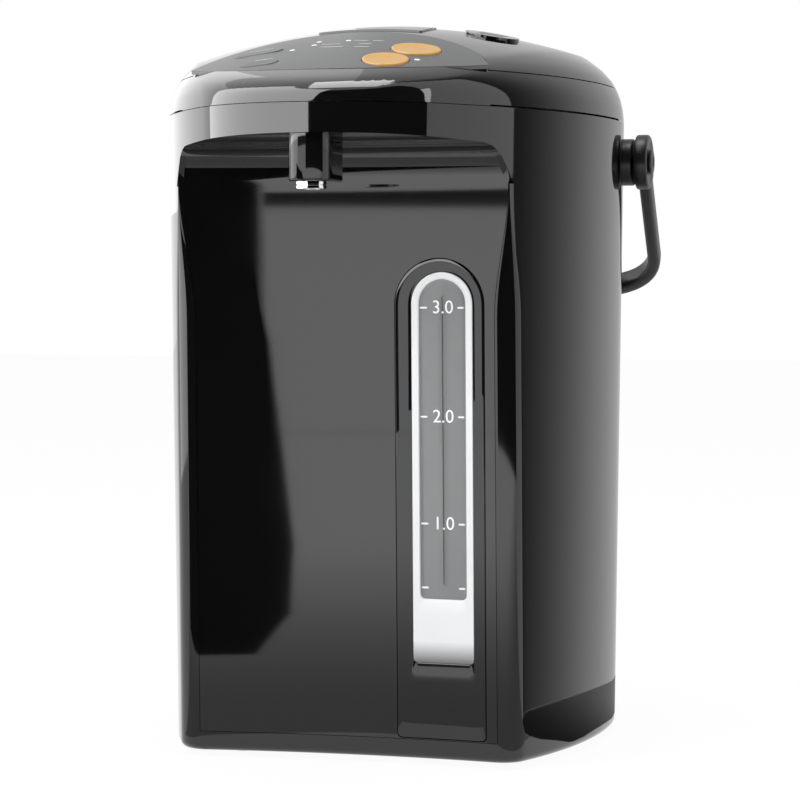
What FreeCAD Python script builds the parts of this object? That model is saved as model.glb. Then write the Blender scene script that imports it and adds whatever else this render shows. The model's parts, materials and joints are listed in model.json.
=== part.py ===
import FreeCAD
import Part
import math
import os

# Driving dimensions of the pot, in millimetres

# Outline of the body seen from above: a round back, flatter sides and a round beak in front
radius_at_base = 105.0
radius_at_seam = 108.6
side_arc_radius = 242.0
beak_reach = 178.8
base_height = 2.8
edge_round = 4.0
seam_height = 300.0
case_wall = 2.5

# Flat front below the beak, hollow by a few millimetres across its width
panel_reach_at_base = 109.2
panel_reach_at_seam = 118.4
panel_hollow = 5.5
panel_half_width = 80.0
panel_corner_radius = 11.0
panel_bottom = 12.0
panel_lap = 7.0
ceiling_lap = 1.0
beak_step = 0.3
beak_depth = 38.0
beak_bottom = seam_height - beak_depth
beak_front_height = 13.5
ceiling_fall = 2.5
lip_height = seam_height - beak_front_height
ceiling_height = lip_height - ceiling_fall
ceiling_radius = 18.0

# Domed top
crown_rise = 46.0
total_height = seam_height + crown_rise
crown_offset = 5.0
front_fall = 0.001167
side_fall = 0.00182
back_fall = 0.0022
seam_gap = 0.6
lid_line_rise = 16.0
lid_line_height = seam_height + lid_line_rise
lid_gap = 0.5
top_wall = 2.5
zone_margin = 60.0

# Control panel, a lens shape on the front of the dome
lens_half_width = 69.5
lens_tip_reach = 122.0
lens_front_reach = 157.0
lens_back_reach = 75.0
overlay_thickness = 1.6
overlay_stand = 0.2
overlay_gap = 0.15
board_depth = 9.0
board_thickness = 1.6
board_post_places = ((42.0, -112.0), (20.0, -138.0))
board_post_radius = 3.0

# Buttons and keys, each at a place on the lens
dispense_place = (35.3, -118.0)
dispense_radius = 11.2
unlock_place = (26.9, -140.5)
unlock_radius = 10.4
upper_key_place = (-39.0, -116.0)
upper_key_size = (23.0, 8.0)
lower_key_place = (-31.0, -141.0)
lower_key_size = (17.0, 7.5)
button_height = 6.0
button_stand = 1.0
button_gap = 0.3
button_travel = 1.0
lamp_places = ((-22.0, -120.0), (40.0, -135.0), (-14.0, -104.0), (0.0, -104.0), (-14.0, -112.0))
lamp_radius = 1.3
lamp_height = 3.0

# Mouth, inner pot and its heater
mouth_radius = 70.0
deck_thickness = 3.0
pot_radius = 80.4
pot_wall = 1.0
pot_floor = 62.0
pot_drop = 3.0
pot_top = seam_height - pot_drop
flange_radius = 88.0
flange_thickness = 1.2
seal_width = 5.0
heat_plate_radius = 60.0
heat_plate_thickness = 4.0
heater_radius = 44.0
heater_width = 8.0
heater_thickness = 4.0
thermostat_radius = 8.0
thermostat_height = 9.0
thermostat_offset = 20.0
fuse_size = (22.0, 9.0, 5.0)

# Lid
hinge_reach = 92.0
hinge_drop = 19.0
hinge_height = total_height - hinge_drop
hinge_barrel_radius = 4.2
hinge_pin_radius = 2.0
hinge_half_width = 30.0
hinge_lug_width = 8.0
housing_half_width = 46.0
housing_lap = 6.0
housing_setback = 0.4
hinge_side_gap = 0.3
pin_clearance = 0.05
lid_base_thickness = 3.0
lid_base_gap = 0.3
plug_radius = 66.0
plug_depth = 17.5
plug_wall = 1.0
lid_seal_lap = 2.5
lid_seal_thickness = 2.5
lid_seal_gap = 0.3
valve_place = (54.0, -44.0)
valve_radius = 13.0
valve_depth = 5.0
lever_half_width = 25.0
lever_front = -66.0
lever_back = -36.0
lever_thickness = 2.2
lever_stand = 0.8
lever_gap = 0.4
lever_rear_gap = 2.0
lever_pin_radius = 1.2
lever_pin_drop = 3.4

# Bail handle, tilted down behind the pot
pivot_reach = 25.0
pivot_drop = 19.0
pivot_height = seam_height - pivot_drop
handle_tilt = 33.0
arm_outer = 119.0
arm_outer_at_bend = 113.8
arm_thickness = 6.5
arm_width = 10.0
eye_radius = 13.5
handle_length = 117.0
grip_width = 10.0
handle_bend_radius = 36.0
boss_radius = 11.5
pivot_pin_radius = 4.0
pivot_head_radius = 6.5
pivot_head_thickness = 1.5
handle_side_gap = 0.5

# Pouring nozzle under the beak
nozzle_reach = 166.0
nozzle_half_width = 9.8
nozzle_depth = 26.0
nozzle_drop = 34.0
nozzle_height = 22.0
nozzle_bottom = seam_height - nozzle_drop
nozzle_top = nozzle_bottom + nozzle_height
ring_radius = 6.8
ring_gap = 0.2
ring_height = 3.5
ring_bottom = nozzle_bottom - ring_height
spout_radius = 4.4

# Water gauge on the front
gauge_centre = 44.6
gauge_half_width = 21.4
gauge_bottom = 12.5
gauge_drop = 29.0
gauge_top = beak_bottom - gauge_drop
gauge_groove = 0.35
cover_front = 0.4
cover_back = 2.2
frame_centre = 45.8
frame_half_width = 14.4
frame_bottom = 48.0
frame_top_gap = 6.5
frame_top = gauge_top - frame_top_gap
frame_border = 3.2
window_bottom = 77.3
frame_front = 0.9
window_corner = 4.0
window_sink = 0.8
tube_radius = 4.5
tube_wall = 1.0
tube_place = (49.0, -98.0)
tube_bottom = 66.0
tube_rise = 3.0
tube_top = gauge_top + tube_rise
socket_length = 9.0
socket_wall = 1.6
socket_gap = 0.1
holder_gap = 0.3
holder_wall = 1.5

# Pump below the inner pot
pump_reach = 68.0
pump_radius = 21.0
pump_bottom = 24.0
pump_top = 42.0
pump_wall = 2.0
motor_radius = 16.0
shaft_radius = 2.0
impeller_radius = 16.0
impeller_hub = 5.0
impeller_thickness = 2.0
blade_count = 6
blade_height = 6.0
blade_thickness = 2.0
inlet_pipe_radius = 6.0
riser_radius = 4.5
riser_wall = 1.2
riser_bend = 6.0
riser_drop = 6.0
riser_height = seam_height - riser_drop

# Base, its posts, feet and fasteners
plate_thickness = 3.0
plate_gap = 0.3
post_radius = 5.0
post_place = 38.0
foot_radius = 10.0
foot_places = ((66.0, 52.0), (-66.0, 52.0), (58.0, -78.0), (-58.0, -78.0))
screw_radius = 1.6
screw_head_radius = 3.2
screw_head_height = 1.6
screw_length = 16.0
screw_clearance = 0.1
screw_boss_radius = 5.0
screw_boss_top = 30.0
screw_places = ((86.5, 34.0), (85.0, -60.0))
screw_rib = 4.0
power_board_size = (56.0, 36.0)
power_board_y = 68.0
power_board_rise = 8.0
standoff_radius = 3.0
capacitor_radius = 7.0
capacitor_height = 18.0
inlet_size = (34.0, 20.0)
inlet_rise = 34.0
inlet_depth = 16.0
inlet_stand = 1.2
inlet_recess = 8.0
contact_length = 2.5
inlet_wall = 3.0
contact_radius = 2.2
contact_spacing = 12.0

# Places worked out from the sizes above
tilt = math.radians(handle_tilt)
handle_reach = pivot_reach + handle_length * math.cos(tilt) + arm_width / 2 * math.sin(tilt)
axis_y = (beak_reach - handle_reach) / 2
panel_arc_radius = (panel_half_width ** 2 + panel_hollow ** 2) / (2 * panel_hollow)
base_top = base_height + plate_thickness
deck_bottom = seam_height + seam_gap
deck_top = deck_bottom + deck_thickness
lid_base_top = lid_line_height + lid_gap
zone_reach = beak_reach + zone_margin
zone_top = total_height + zone_margin
X_AXIS = FreeCAD.Vector(1, 0, 0)
Z_AXIS = FreeCAD.Vector(0, 0, 1)


def point(x, y, z):
    return FreeCAD.Vector(x, y, z)


def box(x0, x1, y0, y1, z0, z1):
    return Part.makeBox(x1 - x0, y1 - y0, z1 - z0, point(x0, y0, z0))


def post(radius, z0, z1, x=0.0, y=0.0):
    return Part.makeCylinder(radius, z1 - z0, point(x, y, z0))


def ring(outer, inner, z0, z1, x=0.0, y=0.0):
    return post(outer, z0, z1, x, y).cut(post(inner, z0, z1, x, y))


def rod(radius, x0, x1, y, z):
    return Part.makeCylinder(radius, x1 - x0, point(x0, y, z), X_AXIS)


def arc_edge(start, middle, end):
    return Part.Arc(start, middle, end).toShape()


def arc_about(cx, cy, radius, angle_0, angle_1, z):
    # Arc in a level plane from one angle to the other
    spots = []
    for angle in (angle_0, (angle_0 + angle_1) / 2, angle_1):
        spots.append(point(cx + radius * math.cos(angle), cy + radius * math.sin(angle), z))
    return arc_edge(*spots)


def mirrored(edges):
    copies = []
    for edge in edges:
        copies.append(edge.mirror(point(0, 0, 0), X_AXIS))
    return copies


def closed_wire(right_edges):
    # The right half of an outline and its mirror image, from front to back
    edges = right_edges + mirrored(right_edges)
    return Part.Wire(Part.__sortEdges__(edges))


def radius_at(z):
    return radius_at_base + (radius_at_seam - radius_at_base) * z / seam_height


def panel_reach(z):
    return panel_reach_at_base + (panel_reach_at_seam - panel_reach_at_base) * z / seam_height


def oval_wire(z, side, front, arc_radius):
    # Round back, side arcs and round front, tangent to each other
    k = side - arc_radius
    nose = (arc_radius ** 2 - k ** 2 - front ** 2) / (2 * (arc_radius - front))
    nose_y = nose - front
    away = math.hypot(k, nose_y)
    join_x = k - arc_radius * k / away
    join_y = arc_radius * nose_y / away
    nose_end = math.atan2(join_y - nose_y, join_x)
    side_start = math.atan2(join_y, join_x - k)
    right = [
        arc_about(0, nose_y, nose, -math.pi / 2, nose_end, z),
        arc_about(k, 0, arc_radius, side_start, 0, z),
        arc_about(0, 0, side, 0, math.pi / 2, z),
    ]
    return closed_wire(right)


def case_wire(z, inset):
    # The oval with its front cut off by the hollow panel, corners rounded
    side = radius_at(z) - inset
    arc_radius = side_arc_radius - inset
    k = side - arc_radius
    panel_y = panel_hollow - panel_reach(z) - panel_arc_radius
    panel_radius = panel_arc_radius + inset
    corner = panel_corner_radius - inset
    near = arc_radius - corner
    far = panel_radius + corner
    span = math.hypot(k, panel_y)
    along = (near ** 2 - far ** 2 + span ** 2) / (2 * span)
    across = math.sqrt(near ** 2 - along ** 2)
    ux = -k / span
    uy = panel_y / span
    corner_x = k + along * ux - across * uy
    corner_y = along * uy + across * ux
    panel_angle = math.atan2(corner_y - panel_y, corner_x)
    side_angle = math.atan2(corner_y, corner_x - k)
    right = [
        arc_about(0, panel_y, panel_radius, math.pi / 2, panel_angle, z),
        arc_about(corner_x, corner_y, corner, panel_angle - math.pi, side_angle, z),
        arc_about(k, 0, arc_radius, side_angle, 0, z),
        arc_about(0, 0, side, 0, math.pi / 2, z),
    ]
    return closed_wire(right)


def case_solid(inset, low, high):
    # Tapered body with a rounded lower edge
    levels = [(low, edge_round + inset), (low + edge_round * 0.4, edge_round * 0.35 + inset)]
    levels += [(low + edge_round * 1.3, inset), (high, inset)]
    wires = []
    for z, amount in levels:
        wires.append(case_wire(z, amount))
    return Part.makeLoft(wires, True, True)


def panel_y_at(z):
    return panel_hollow - panel_reach(z)


def turned_about_panel_axis(outline):
    # The hollow of the front is round about an upright axis far in front of it
    face = Part.Face(Part.makePolygon(outline + outline[:1]))
    return turned_face(face)


def turned_face(face):
    sweep = 20.0
    centre = point(0, panel_y_at(ceiling_height) - panel_arc_radius, 0)
    face.rotate(centre, Z_AXIS, -sweep / 2)
    return face.revolve(centre, Z_AXIS, sweep)


def recess_tool(back, up, low):
    # Space in front of the panel and below the ceiling of the beak
    far = -beak_reach - 30.0
    start = ceiling_height - ceiling_radius
    round_y = panel_y_at(start) + back
    top = ceiling_height + up
    radius = ceiling_radius + up
    centre_y = round_y - radius
    centre_z = top - radius
    half = math.sqrt(0.5)
    lip = top + (lip_height - ceiling_height) * (centre_y - far) / (beak_reach + centre_y)
    spots = [
        point(0, panel_y_at(low) + back, low),
        point(0, round_y, centre_z),
        point(0, centre_y + radius * half, centre_z + radius * half),
        point(0, centre_y, top),
        point(0, far, lip),
        point(0, far, low),
    ]
    edges = [
        Part.makeLine(spots[0], spots[1]),
        arc_edge(spots[1], spots[2], spots[3]),
        Part.makeLine(spots[3], spots[4]),
        Part.makeLine(spots[4], spots[5]),
        Part.makeLine(spots[5], spots[0]),
    ]
    return turned_face(Part.Face(Part.Wire(edges)))


def beak_solid(inset, high):
    levels = []
    for z in (beak_bottom, high):
        levels.append(oval_wire(z, radius_at(z) - inset, beak_reach - inset, side_arc_radius - inset))
    block = Part.makeLoft(levels, True, True)
    return block.cut(recess_tool(inset + beak_step, inset, beak_bottom - 20.0))


def panel_slab(front, back, low, high):
    # Sheet that follows the hollow panel, from front to back of its face
    outline = [
        point(0, panel_y_at(low) - front, low),
        point(0, panel_y_at(low) + back, low),
        point(0, panel_y_at(high) + back, high),
        point(0, panel_y_at(high) - front, high),
    ]
    return turned_about_panel_axis(outline)


def arch_prism(centre, half_width, low, high, grow, corner):
    # Upright opening with a round top and rounded lower corners, drawn in the front view
    x0 = centre - half_width - grow
    x1 = centre + half_width + grow
    bottom = low - grow
    radius = half_width + grow
    spring = high + grow - radius
    y0 = -beak_reach
    half = math.sqrt(0.5)
    bend = corner * (1 - half)
    edges = [
        Part.makeLine(point(x0 + corner, y0, bottom), point(x1 - corner, y0, bottom)),
        arc_edge(point(x1 - corner, y0, bottom), point(x1 - bend, y0, bottom + bend),
                 point(x1, y0, bottom + corner)),
        Part.makeLine(point(x1, y0, bottom + corner), point(x1, y0, spring)),
        arc_edge(point(x1, y0, spring), point(centre, y0, spring + radius), point(x0, y0, spring)),
        Part.makeLine(point(x0, y0, spring), point(x0, y0, bottom + corner)),
        arc_edge(point(x0, y0, bottom + corner), point(x0 + bend, y0, bottom + bend),
                 point(x0 + corner, y0, bottom)),
    ]
    return Part.Face(Part.Wire(edges)).extrude(point(0, beak_reach, 0))


def window_prism(centre, half_width, low, high, corner):
    return rounded_block(centre - half_width, centre + half_width, low, high, corner)


def rounded_block(x0, x1, z0, z1, corner):
    block = box(x0, x1, -beak_reach, 0, z0, z1)
    edges = []
    for edge in block.Edges:
        if abs(edge.Vertexes[0].Y - edge.Vertexes[1].Y) > 1:
            edges.append(edge)
    return block.makeFillet(corner, edges)


def crown_height(x, y):
    along = y - crown_offset
    fall = front_fall if along < 0 else back_fall
    return total_height - fall * along ** 2 - side_fall * x ** 2


def crown_normal(x, y):
    along = y - crown_offset
    fall = front_fall if along < 0 else back_fall
    lean = point(2 * side_fall * x, 2 * fall * along, 1)
    return lean.normalize()


def crown_block(drop):
    # Everything under the crown of the dome, lowered by drop
    reach = beak_reach + 20.0
    width = radius_at_seam + 20.0
    columns = 9
    rows = 13
    grid = []
    for i in range(columns):
        x = -width + 2 * width * i / (columns - 1)
        line = []
        for j in range(rows):
            y = -reach + (reach + width) * j / (rows - 1)
            line.append(point(x, y, crown_height(x, y) - drop))
        grid.append(line)
    surface = Part.BSplineSurface()
    surface.interpolate(grid)
    return surface.toShape().extrude(point(0, 0, -120.0))


def shoulder(inset, low):
    # Sides of the top, drawn in as they rise, more at the front than beside
    steps = ((0.0, 0.0, 0.0), (6.0, 0.6, 2.6), (11.0, 1.7, 8.0), (15.0, 3.2, 16.0),
             (20.0, 6.0, 28.0), (25.0, 10.5, 42.0), (30.0, 17.0, 62.0), (34.0, 24.0, 80.0),
             (50.0, 30.0, 90.0))
    wires = []
    if low < seam_height:
        wires.append(oval_wire(low, radius_at_seam - inset, beak_reach - inset, side_arc_radius - inset))
    for rise, side, front in steps:
        wires.append(oval_wire(seam_height + rise, radius_at_seam - side - inset,
                               beak_reach - front - inset, side_arc_radius - inset - front))
    return Part.makeLoft(wires, True, True)


def top_solid(inset, low):
    return shoulder(inset, low).common(crown_block(inset))


def lens_prism(grow):
    # Two round edges that meet in the tips of the lens
    tip = lens_half_width + grow
    high = total_height + 10.0
    front = point(0, -lens_front_reach - grow, high)
    back = point(0, -lens_back_reach + grow, high)
    left = point(-tip, -lens_tip_reach, high)
    right = point(tip, -lens_tip_reach, high)
    wire = Part.Wire([arc_edge(left, front, right), arc_edge(right, back, left)])
    return Part.Face(wire).extrude(point(0, 0, -90.0))


def lens_back_circle(grow, low, high):
    # Round edge between the fixed front of the top and the lid
    deep = lens_tip_reach - lens_back_reach
    radius = (lens_half_width ** 2 + deep ** 2) / (2 * deep)
    return post(radius + grow, low, high, 0, -lens_back_reach - radius)


def crown_frame(place, shape):
    # Sets a shape drawn about the origin upright on the crown
    x, y = place
    normal = crown_normal(x, y)
    turn = FreeCAD.Rotation(Z_AXIS, normal)
    shape.Placement = FreeCAD.Placement(point(x, y, crown_height(x, y)), turn)
    return shape


def slot_block(length, width, z0, z1):
    half = width / 2
    core = box(-length / 2 + half, length / 2 - half, -half, half, z0, z1)
    ends = [post(half, z0, z1, length / 2 - half), post(half, z0, z1, half - length / 2)]
    return core.multiFuse(ends).removeSplitter()


def button_holes():
    high = 12.0
    low = -20.0
    holes = [
        crown_frame(dispense_place, post(dispense_radius + button_gap, low, high)),
        crown_frame(unlock_place, post(unlock_radius + button_gap, low, high)),
    ]
    for place, size in ((upper_key_place, upper_key_size), (lower_key_place, lower_key_size)):
        grown = slot_block(size[0] + 2 * button_gap, size[1] + 2 * button_gap, low, high)
        holes.append(crown_frame(place, grown))
    for place in lamp_places:
        holes.append(crown_frame(place, post(lamp_radius, low, high)))
    return holes


def bent_tube(spots, bend, radius, wall):
    # Round tube along straight runs joined by tangent arcs
    edges = []
    last = spots[0]
    for i in range(1, len(spots) - 1):
        before = (spots[i] - spots[i - 1]).normalize()
        after = (spots[i + 1] - spots[i]).normalize()
        angle = before.getAngle(after)
        cut = bend * math.tan(angle / 2)
        start = spots[i] - before * cut
        end = spots[i] + after * cut
        inward = (after - before).normalize()
        middle = spots[i] + inward * (bend / math.cos(angle / 2) - bend)
        edges.append(Part.makeLine(last, start))
        edges.append(arc_edge(start, middle, end))
        last = end
    edges.append(Part.makeLine(last, spots[-1]))
    path = Part.Wire(edges)
    direction = (spots[1] - spots[0]).normalize()
    solids = []
    for size in (radius, radius - wall):
        profile = Part.Wire([Part.makeCircle(size, spots[0], direction)])
        solids.append(path.makePipeShell([profile], True, False))
    return solids[0].cut(solids[1])


def nozzle_block(grow, top):
    # Upright block, round in front
    half = nozzle_half_width + grow
    back = -nozzle_reach - nozzle_half_width + nozzle_depth + grow
    front = post(half, nozzle_bottom, top, 0, -nozzle_reach)
    block = box(-half, half, -nozzle_reach, back, nozzle_bottom, top)
    return front.fuse(block).removeSplitter()


def largest(shape):
    # The one body of a cut shape, without slivers left beside it
    return max(shape.Solids, key=lambda solid: solid.Volume)


def save(name, shape):
    os.makedirs("parts", exist_ok=True)
    placed = shape.copy()
    placed.translate(point(0, axis_y, 0))
    placed.exportStep("parts/" + name + ".step")
    print(name, len(placed.Solids), placed.isValid(), round(placed.Volume))


# Gauge openings shared by the panel and the pieces set in it
gauge_hole = arch_prism(gauge_centre, gauge_half_width, gauge_bottom, gauge_top, 0.0, 2.0)
cover_prism = arch_prism(gauge_centre, gauge_half_width, gauge_bottom, gauge_top, -gauge_groove, 2.0)
frame_prism = window_prism(frame_centre, frame_half_width, frame_bottom, frame_top, window_corner)
window_tool = window_prism(frame_centre, frame_half_width - frame_border, window_bottom,
                           frame_top - frame_border, window_corner)

# Pivot bosses stand out of the round back half of the body, with a pin through each arm
arm_lean = (arm_outer - arm_outer_at_bend) / (handle_length - handle_bend_radius)
boss_outer = arm_outer - arm_thickness - handle_side_gap - boss_radius * arm_lean
pivot_bore = pivot_pin_radius + pin_clearance

# Nozzle opening in the ceiling of the beak
nozzle_opening = nozzle_block(overlay_gap, seam_height)

# Body shell and front panel, cut from one wall
envelope = case_solid(0.0, base_height, beak_bottom).fuse(beak_solid(0.0, seam_height))
cavity_case = case_solid(case_wall, base_height - 0.5, beak_bottom)
cavity = cavity_case.fuse(beak_solid(case_wall, seam_height + 1.0))
wall = envelope.cut(cavity)
panel_tool = recess_tool(panel_lap, case_wall + ceiling_lap, panel_bottom)
front_panel = wall.common(panel_tool).cut(gauge_hole).cut(nozzle_opening)
inlet_hole = box(-inlet_size[0] / 2, inlet_size[0] / 2, 0, radius_at_seam + 10.0,
                 inlet_rise - inlet_size[1] / 2, inlet_rise + inlet_size[1] / 2)
body_shell = wall.cut(panel_tool).cut(inlet_hole)
for x, y in screw_places:
    for side in (-1, 1):
        boss = post(screw_boss_radius, base_top, screw_boss_top, side * x, y)
        rib_x = side * (x + screw_boss_radius * 3)
        rib = box(min(side * x, rib_x), max(side * x, rib_x), y - screw_rib / 2, y + screw_rib / 2,
                  base_top, screw_boss_top)
        boss = boss.fuse(rib).common(envelope)
        body_shell = body_shell.fuse(boss).cut(
            post(screw_radius + screw_clearance, base_top - 1, screw_boss_top - 2, side * x, y))
for side in (-1, 1):
    x0 = min(side * (radius_at_base - 20.0), side * boss_outer)
    bore = rod(pivot_bore, x0, x0 + boss_outer - radius_at_base + 20.0, pivot_reach, pivot_height)
    body_shell = body_shell.cut(bore)
save("body_shell", body_shell)
save("front_panel", front_panel)

# Pivot bosses, shaped to the round of the body
for side, name in ((-1, "left"), (1, "right")):
    inner = radius_at_base - 20.0
    x0 = min(side * inner, side * boss_outer)
    boss = rod(boss_radius, x0, x0 + boss_outer - inner, pivot_reach, pivot_height)
    boss = boss.cut(envelope)
    boss = boss.cut(rod(pivot_bore, x0, x0 + boss_outer - inner, pivot_reach, pivot_height))
    save("handle_boss_" + name, boss)
    pin_in = radius_at_seam - 12.0
    length = arm_outer - pin_in
    start = min(side * pin_in, side * arm_outer)
    pin = rod(pivot_pin_radius, start, start + length, pivot_reach, pivot_height)
    head_in = min(side * arm_outer, side * (arm_outer + pivot_head_thickness))
    head = rod(pivot_head_radius, head_in, head_in + pivot_head_thickness, pivot_reach, pivot_height)
    save("handle_pin_" + name, pin.fuse(head))


def handle_outline(grow):
    # Half of the bail in its own plane: across from the middle, and away from the pivots
    top = handle_length - grow
    bend = handle_bend_radius - grow
    side = arm_outer_at_bend - grow
    pivot_side = arm_outer - grow
    half = math.sqrt(0.5)
    start = point(pivot_side, 0, 0)
    low = point(side, top - bend, 0)
    mid = point(side - bend * (1 - half), top - bend * (1 - half), 0)
    high = point(side - bend, top, 0)
    return start, low, mid, high


def bail_handle():
    # A bail of even width with round eyes at the pivots, tilted down behind the body
    outer = handle_outline(0.0)
    inner = handle_outline(arm_thickness)
    grip_inner = handle_outline(grip_width)
    edges = [
        Part.makeLine(outer[0], outer[1]),
        arc_edge(outer[1], outer[2], outer[3]),
        Part.makeLine(outer[3], point(0, outer[3].y, 0)),
        Part.makeLine(point(0, outer[3].y, 0), point(0, grip_inner[3].y, 0)),
        Part.makeLine(point(0, grip_inner[3].y, 0), grip_inner[3]),
        arc_edge(grip_inner[3], point((grip_inner[2].x + inner[2].x) / 2,
                                      (grip_inner[2].y + inner[2].y) / 2, 0), inner[1]),
        Part.makeLine(inner[1], inner[0]),
        Part.makeLine(inner[0], outer[0]),
    ]
    half = Part.Face(Part.Wire(edges)).extrude(point(0, 0, arm_width))
    half.translate(point(0, 0, -arm_width / 2))
    eye = Part.makeCylinder(eye_radius, arm_thickness, point(arm_outer - arm_thickness, 0, 0), X_AXIS)
    half = half.fuse(eye)
    whole = half.fuse(half.mirror(point(0, 0, 0), X_AXIS)).removeSplitter()
    whole.rotate(point(0, 0, 0), X_AXIS, -handle_tilt)
    whole.translate(point(0, pivot_reach, pivot_height))
    bore = rod(pivot_pin_radius + pin_clearance, -arm_outer - 1, arm_outer + 1, pivot_reach, pivot_height)
    return whole.cut(bore)


save("bail_handle", bail_handle())

# Fixed top with the seat of the control panel, the mouth deck and the hinge housing
outer_top = top_solid(0.0, deck_bottom)
inner_top = top_solid(top_wall, deck_bottom - 1.0)
hinge_block_half = hinge_half_width + hinge_lug_width
front_post = lens_back_circle(0.0, 0.0, zone_top)
low_zone = box(-zone_reach, zone_reach, -zone_reach, zone_reach, deck_bottom, lid_line_height)
rear_zone = box(-housing_half_width, housing_half_width, hinge_reach - housing_lap + housing_setback, zone_reach,
                deck_bottom, zone_top)
fixed_zone = low_zone.fuse(front_post)
top_cover = outer_top.cut(inner_top).common(fixed_zone)
deck = outer_top.common(box(-zone_reach, zone_reach, -zone_reach, zone_reach, deck_bottom, deck_top))
mouth = post(mouth_radius, deck_bottom - 5, deck_top + 5)
bulkhead_post = lens_back_circle(-top_wall, 0.0, zone_top)
bulkhead = outer_top.common(front_post.cut(bulkhead_post)).common(
    box(-zone_reach, zone_reach, -lens_tip_reach, 0, deck_bottom, zone_top))
housing = outer_top.common(rear_zone).cut(post(mouth_radius, 0, zone_top))
slot_half = hinge_half_width + hinge_side_gap
hinge_slot = box(-slot_half, slot_half, hinge_reach - housing_lap - 4.0,
                 hinge_reach + hinge_barrel_radius + lid_gap, deck_top, zone_top)
lugs = rod(hinge_barrel_radius, -hinge_block_half, hinge_block_half, hinge_reach, hinge_height)
pin_bore = rod(hinge_pin_radius + pin_clearance, -hinge_block_half, hinge_block_half,
               hinge_reach, hinge_height)
board_posts = []
for x, y in board_post_places:
    for side in (-1, 1):
        column = post(board_post_radius, deck_bottom, zone_top, side * x, y)
        board_posts.append(column.common(crown_block(board_depth + board_thickness)))
top_cover = top_cover.multiFuse([deck.cut(mouth), bulkhead.cut(mouth), housing, lugs] + board_posts)
top_cover = top_cover.cut(hinge_slot)
lens_seat = lens_prism(overlay_gap).cut(crown_block(overlay_thickness))
top_cover = top_cover.cut(lens_seat).cut(pin_bore)
for hole in button_holes():
    top_cover = top_cover.cut(hole)
save("top_cover", largest(top_cover))
save("hinge_pin", rod(hinge_pin_radius, -hinge_block_half, hinge_block_half, hinge_reach, hinge_height))

# Control panel overlay, its lamps, and the board below
overlay = lens_prism(0.0).common(crown_block(-overlay_stand)).cut(crown_block(overlay_thickness))
for hole in button_holes():
    overlay = overlay.cut(hole)
save("control_panel", overlay)
lamps = []
for place in lamp_places:
    lamps.append(crown_frame(place, post(lamp_radius, -lamp_height, overlay_stand)))
save("indicator_lamps", Part.makeCompound(lamps))
save("dispense_button", crown_frame(dispense_place, post(dispense_radius, button_stand - button_height,
                                                         button_stand)))
save("unlock_button", crown_frame(unlock_place, post(unlock_radius, button_stand - button_height,
                                                     button_stand)))
for name, place, size in (("reheat_key", upper_key_place, upper_key_size),
                          ("temperature_key", lower_key_place, lower_key_size)):
    key = slot_block(size[0], size[1], button_stand * 0.5 - button_height, button_stand * 0.5)
    save(name, crown_frame(place, key))
board_zone = lens_prism(-8.0).cut(box(-zone_reach, zone_reach, -lens_back_reach - 12.0, 0, 0, zone_top))
board = board_zone.common(crown_block(board_depth)).cut(crown_block(board_depth + board_thickness))
board = board.cut(box(-zone_reach, zone_reach, -zone_reach, 0, 0, deck_top + 0.5))
save("control_board", board)

# Lid
lid_zone = box(-zone_reach, zone_reach, -zone_reach, zone_reach, lid_base_top, zone_top)
lid_front = lens_back_circle(lid_gap, 0.0, zone_top)
rear_edge = hinge_reach - housing_lap - lid_gap
rear_half = housing_half_width + lid_gap
rear_gap = box(-rear_half, rear_half, rear_edge, zone_reach, 0, zone_top)
lid_outer = outer_top.common(lid_zone).cut(lid_front).cut(rear_gap)
lid_hollow = inner_top.cut(lens_back_circle(lid_gap + top_wall, 0.0, zone_top))
lid_hollow = lid_hollow.cut(box(-rear_half - top_wall, rear_half + top_wall, rear_edge - top_wall, zone_reach,
                                0, zone_top))
lid_shell = lid_outer.cut(lid_hollow)
barrel = rod(hinge_barrel_radius, -hinge_half_width, hinge_half_width, hinge_reach, hinge_height)
tongue = box(-hinge_half_width, hinge_half_width, rear_edge - top_wall, hinge_reach,
             hinge_height - hinge_barrel_radius, hinge_height - hinge_pin_radius)
lid_shell = lid_shell.multiFuse([barrel, tongue.common(outer_top)]).cut(pin_bore)
lever_block = box(-lever_half_width, lever_half_width, lever_front, lever_back, 0, zone_top)
lever_hole = box(-lever_half_width - lever_gap, lever_half_width + lever_gap, lever_front - lever_gap,
                 lever_back + lever_rear_gap, 0, zone_top)
lever_hole = lever_hole.common(crown_block(-5.0)).cut(crown_block(lever_thickness + 3.0))
valve_seat = crown_frame(valve_place, post(valve_radius + overlay_gap, -valve_depth, 10.0))
lid_shell = lid_shell.cut(lever_hole).cut(valve_seat)
lever_axis_y = lever_back - lever_pin_radius - 1.4
lever_axis_z = crown_height(0, lever_axis_y) - lever_pin_drop
lever_pin = rod(lever_pin_radius, -lever_half_width - 3.0, lever_half_width + 3.0, lever_axis_y, lever_axis_z)
lever_ears = []
for side in (-1, 1):
    x0 = side * (lever_half_width + lever_gap + 2.4) - 2.0
    ear = box(x0, x0 + 4.0, lever_axis_y - 4.0, lever_axis_y + 4.0, lever_axis_z - 3.0, total_height)
    lever_ears.append(ear.common(crown_block(1.0)))
lid_shell = lid_shell.multiFuse(lever_ears).cut(
    rod(lever_pin_radius + pin_clearance, -lever_half_width - 8.0, lever_half_width + 8.0,
        lever_axis_y, lever_axis_z))
save("lid_cover", lid_shell)
save("lever_pin", lever_pin)
lever = lever_block.common(crown_block(-lever_stand)).cut(crown_block(lever_thickness - lever_stand))
lever_hub = rod(lever_pin_radius + 1.4, -lever_half_width, lever_half_width, lever_axis_y, lever_axis_z)
lever = lever.fuse(lever_hub).cut(
    rod(lever_pin_radius + pin_clearance, -zone_reach, zone_reach, lever_axis_y, lever_axis_z))
save("lid_lever", lever)
valve = crown_frame(valve_place, post(valve_radius, -valve_depth, 1.2))
vents = []
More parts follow.
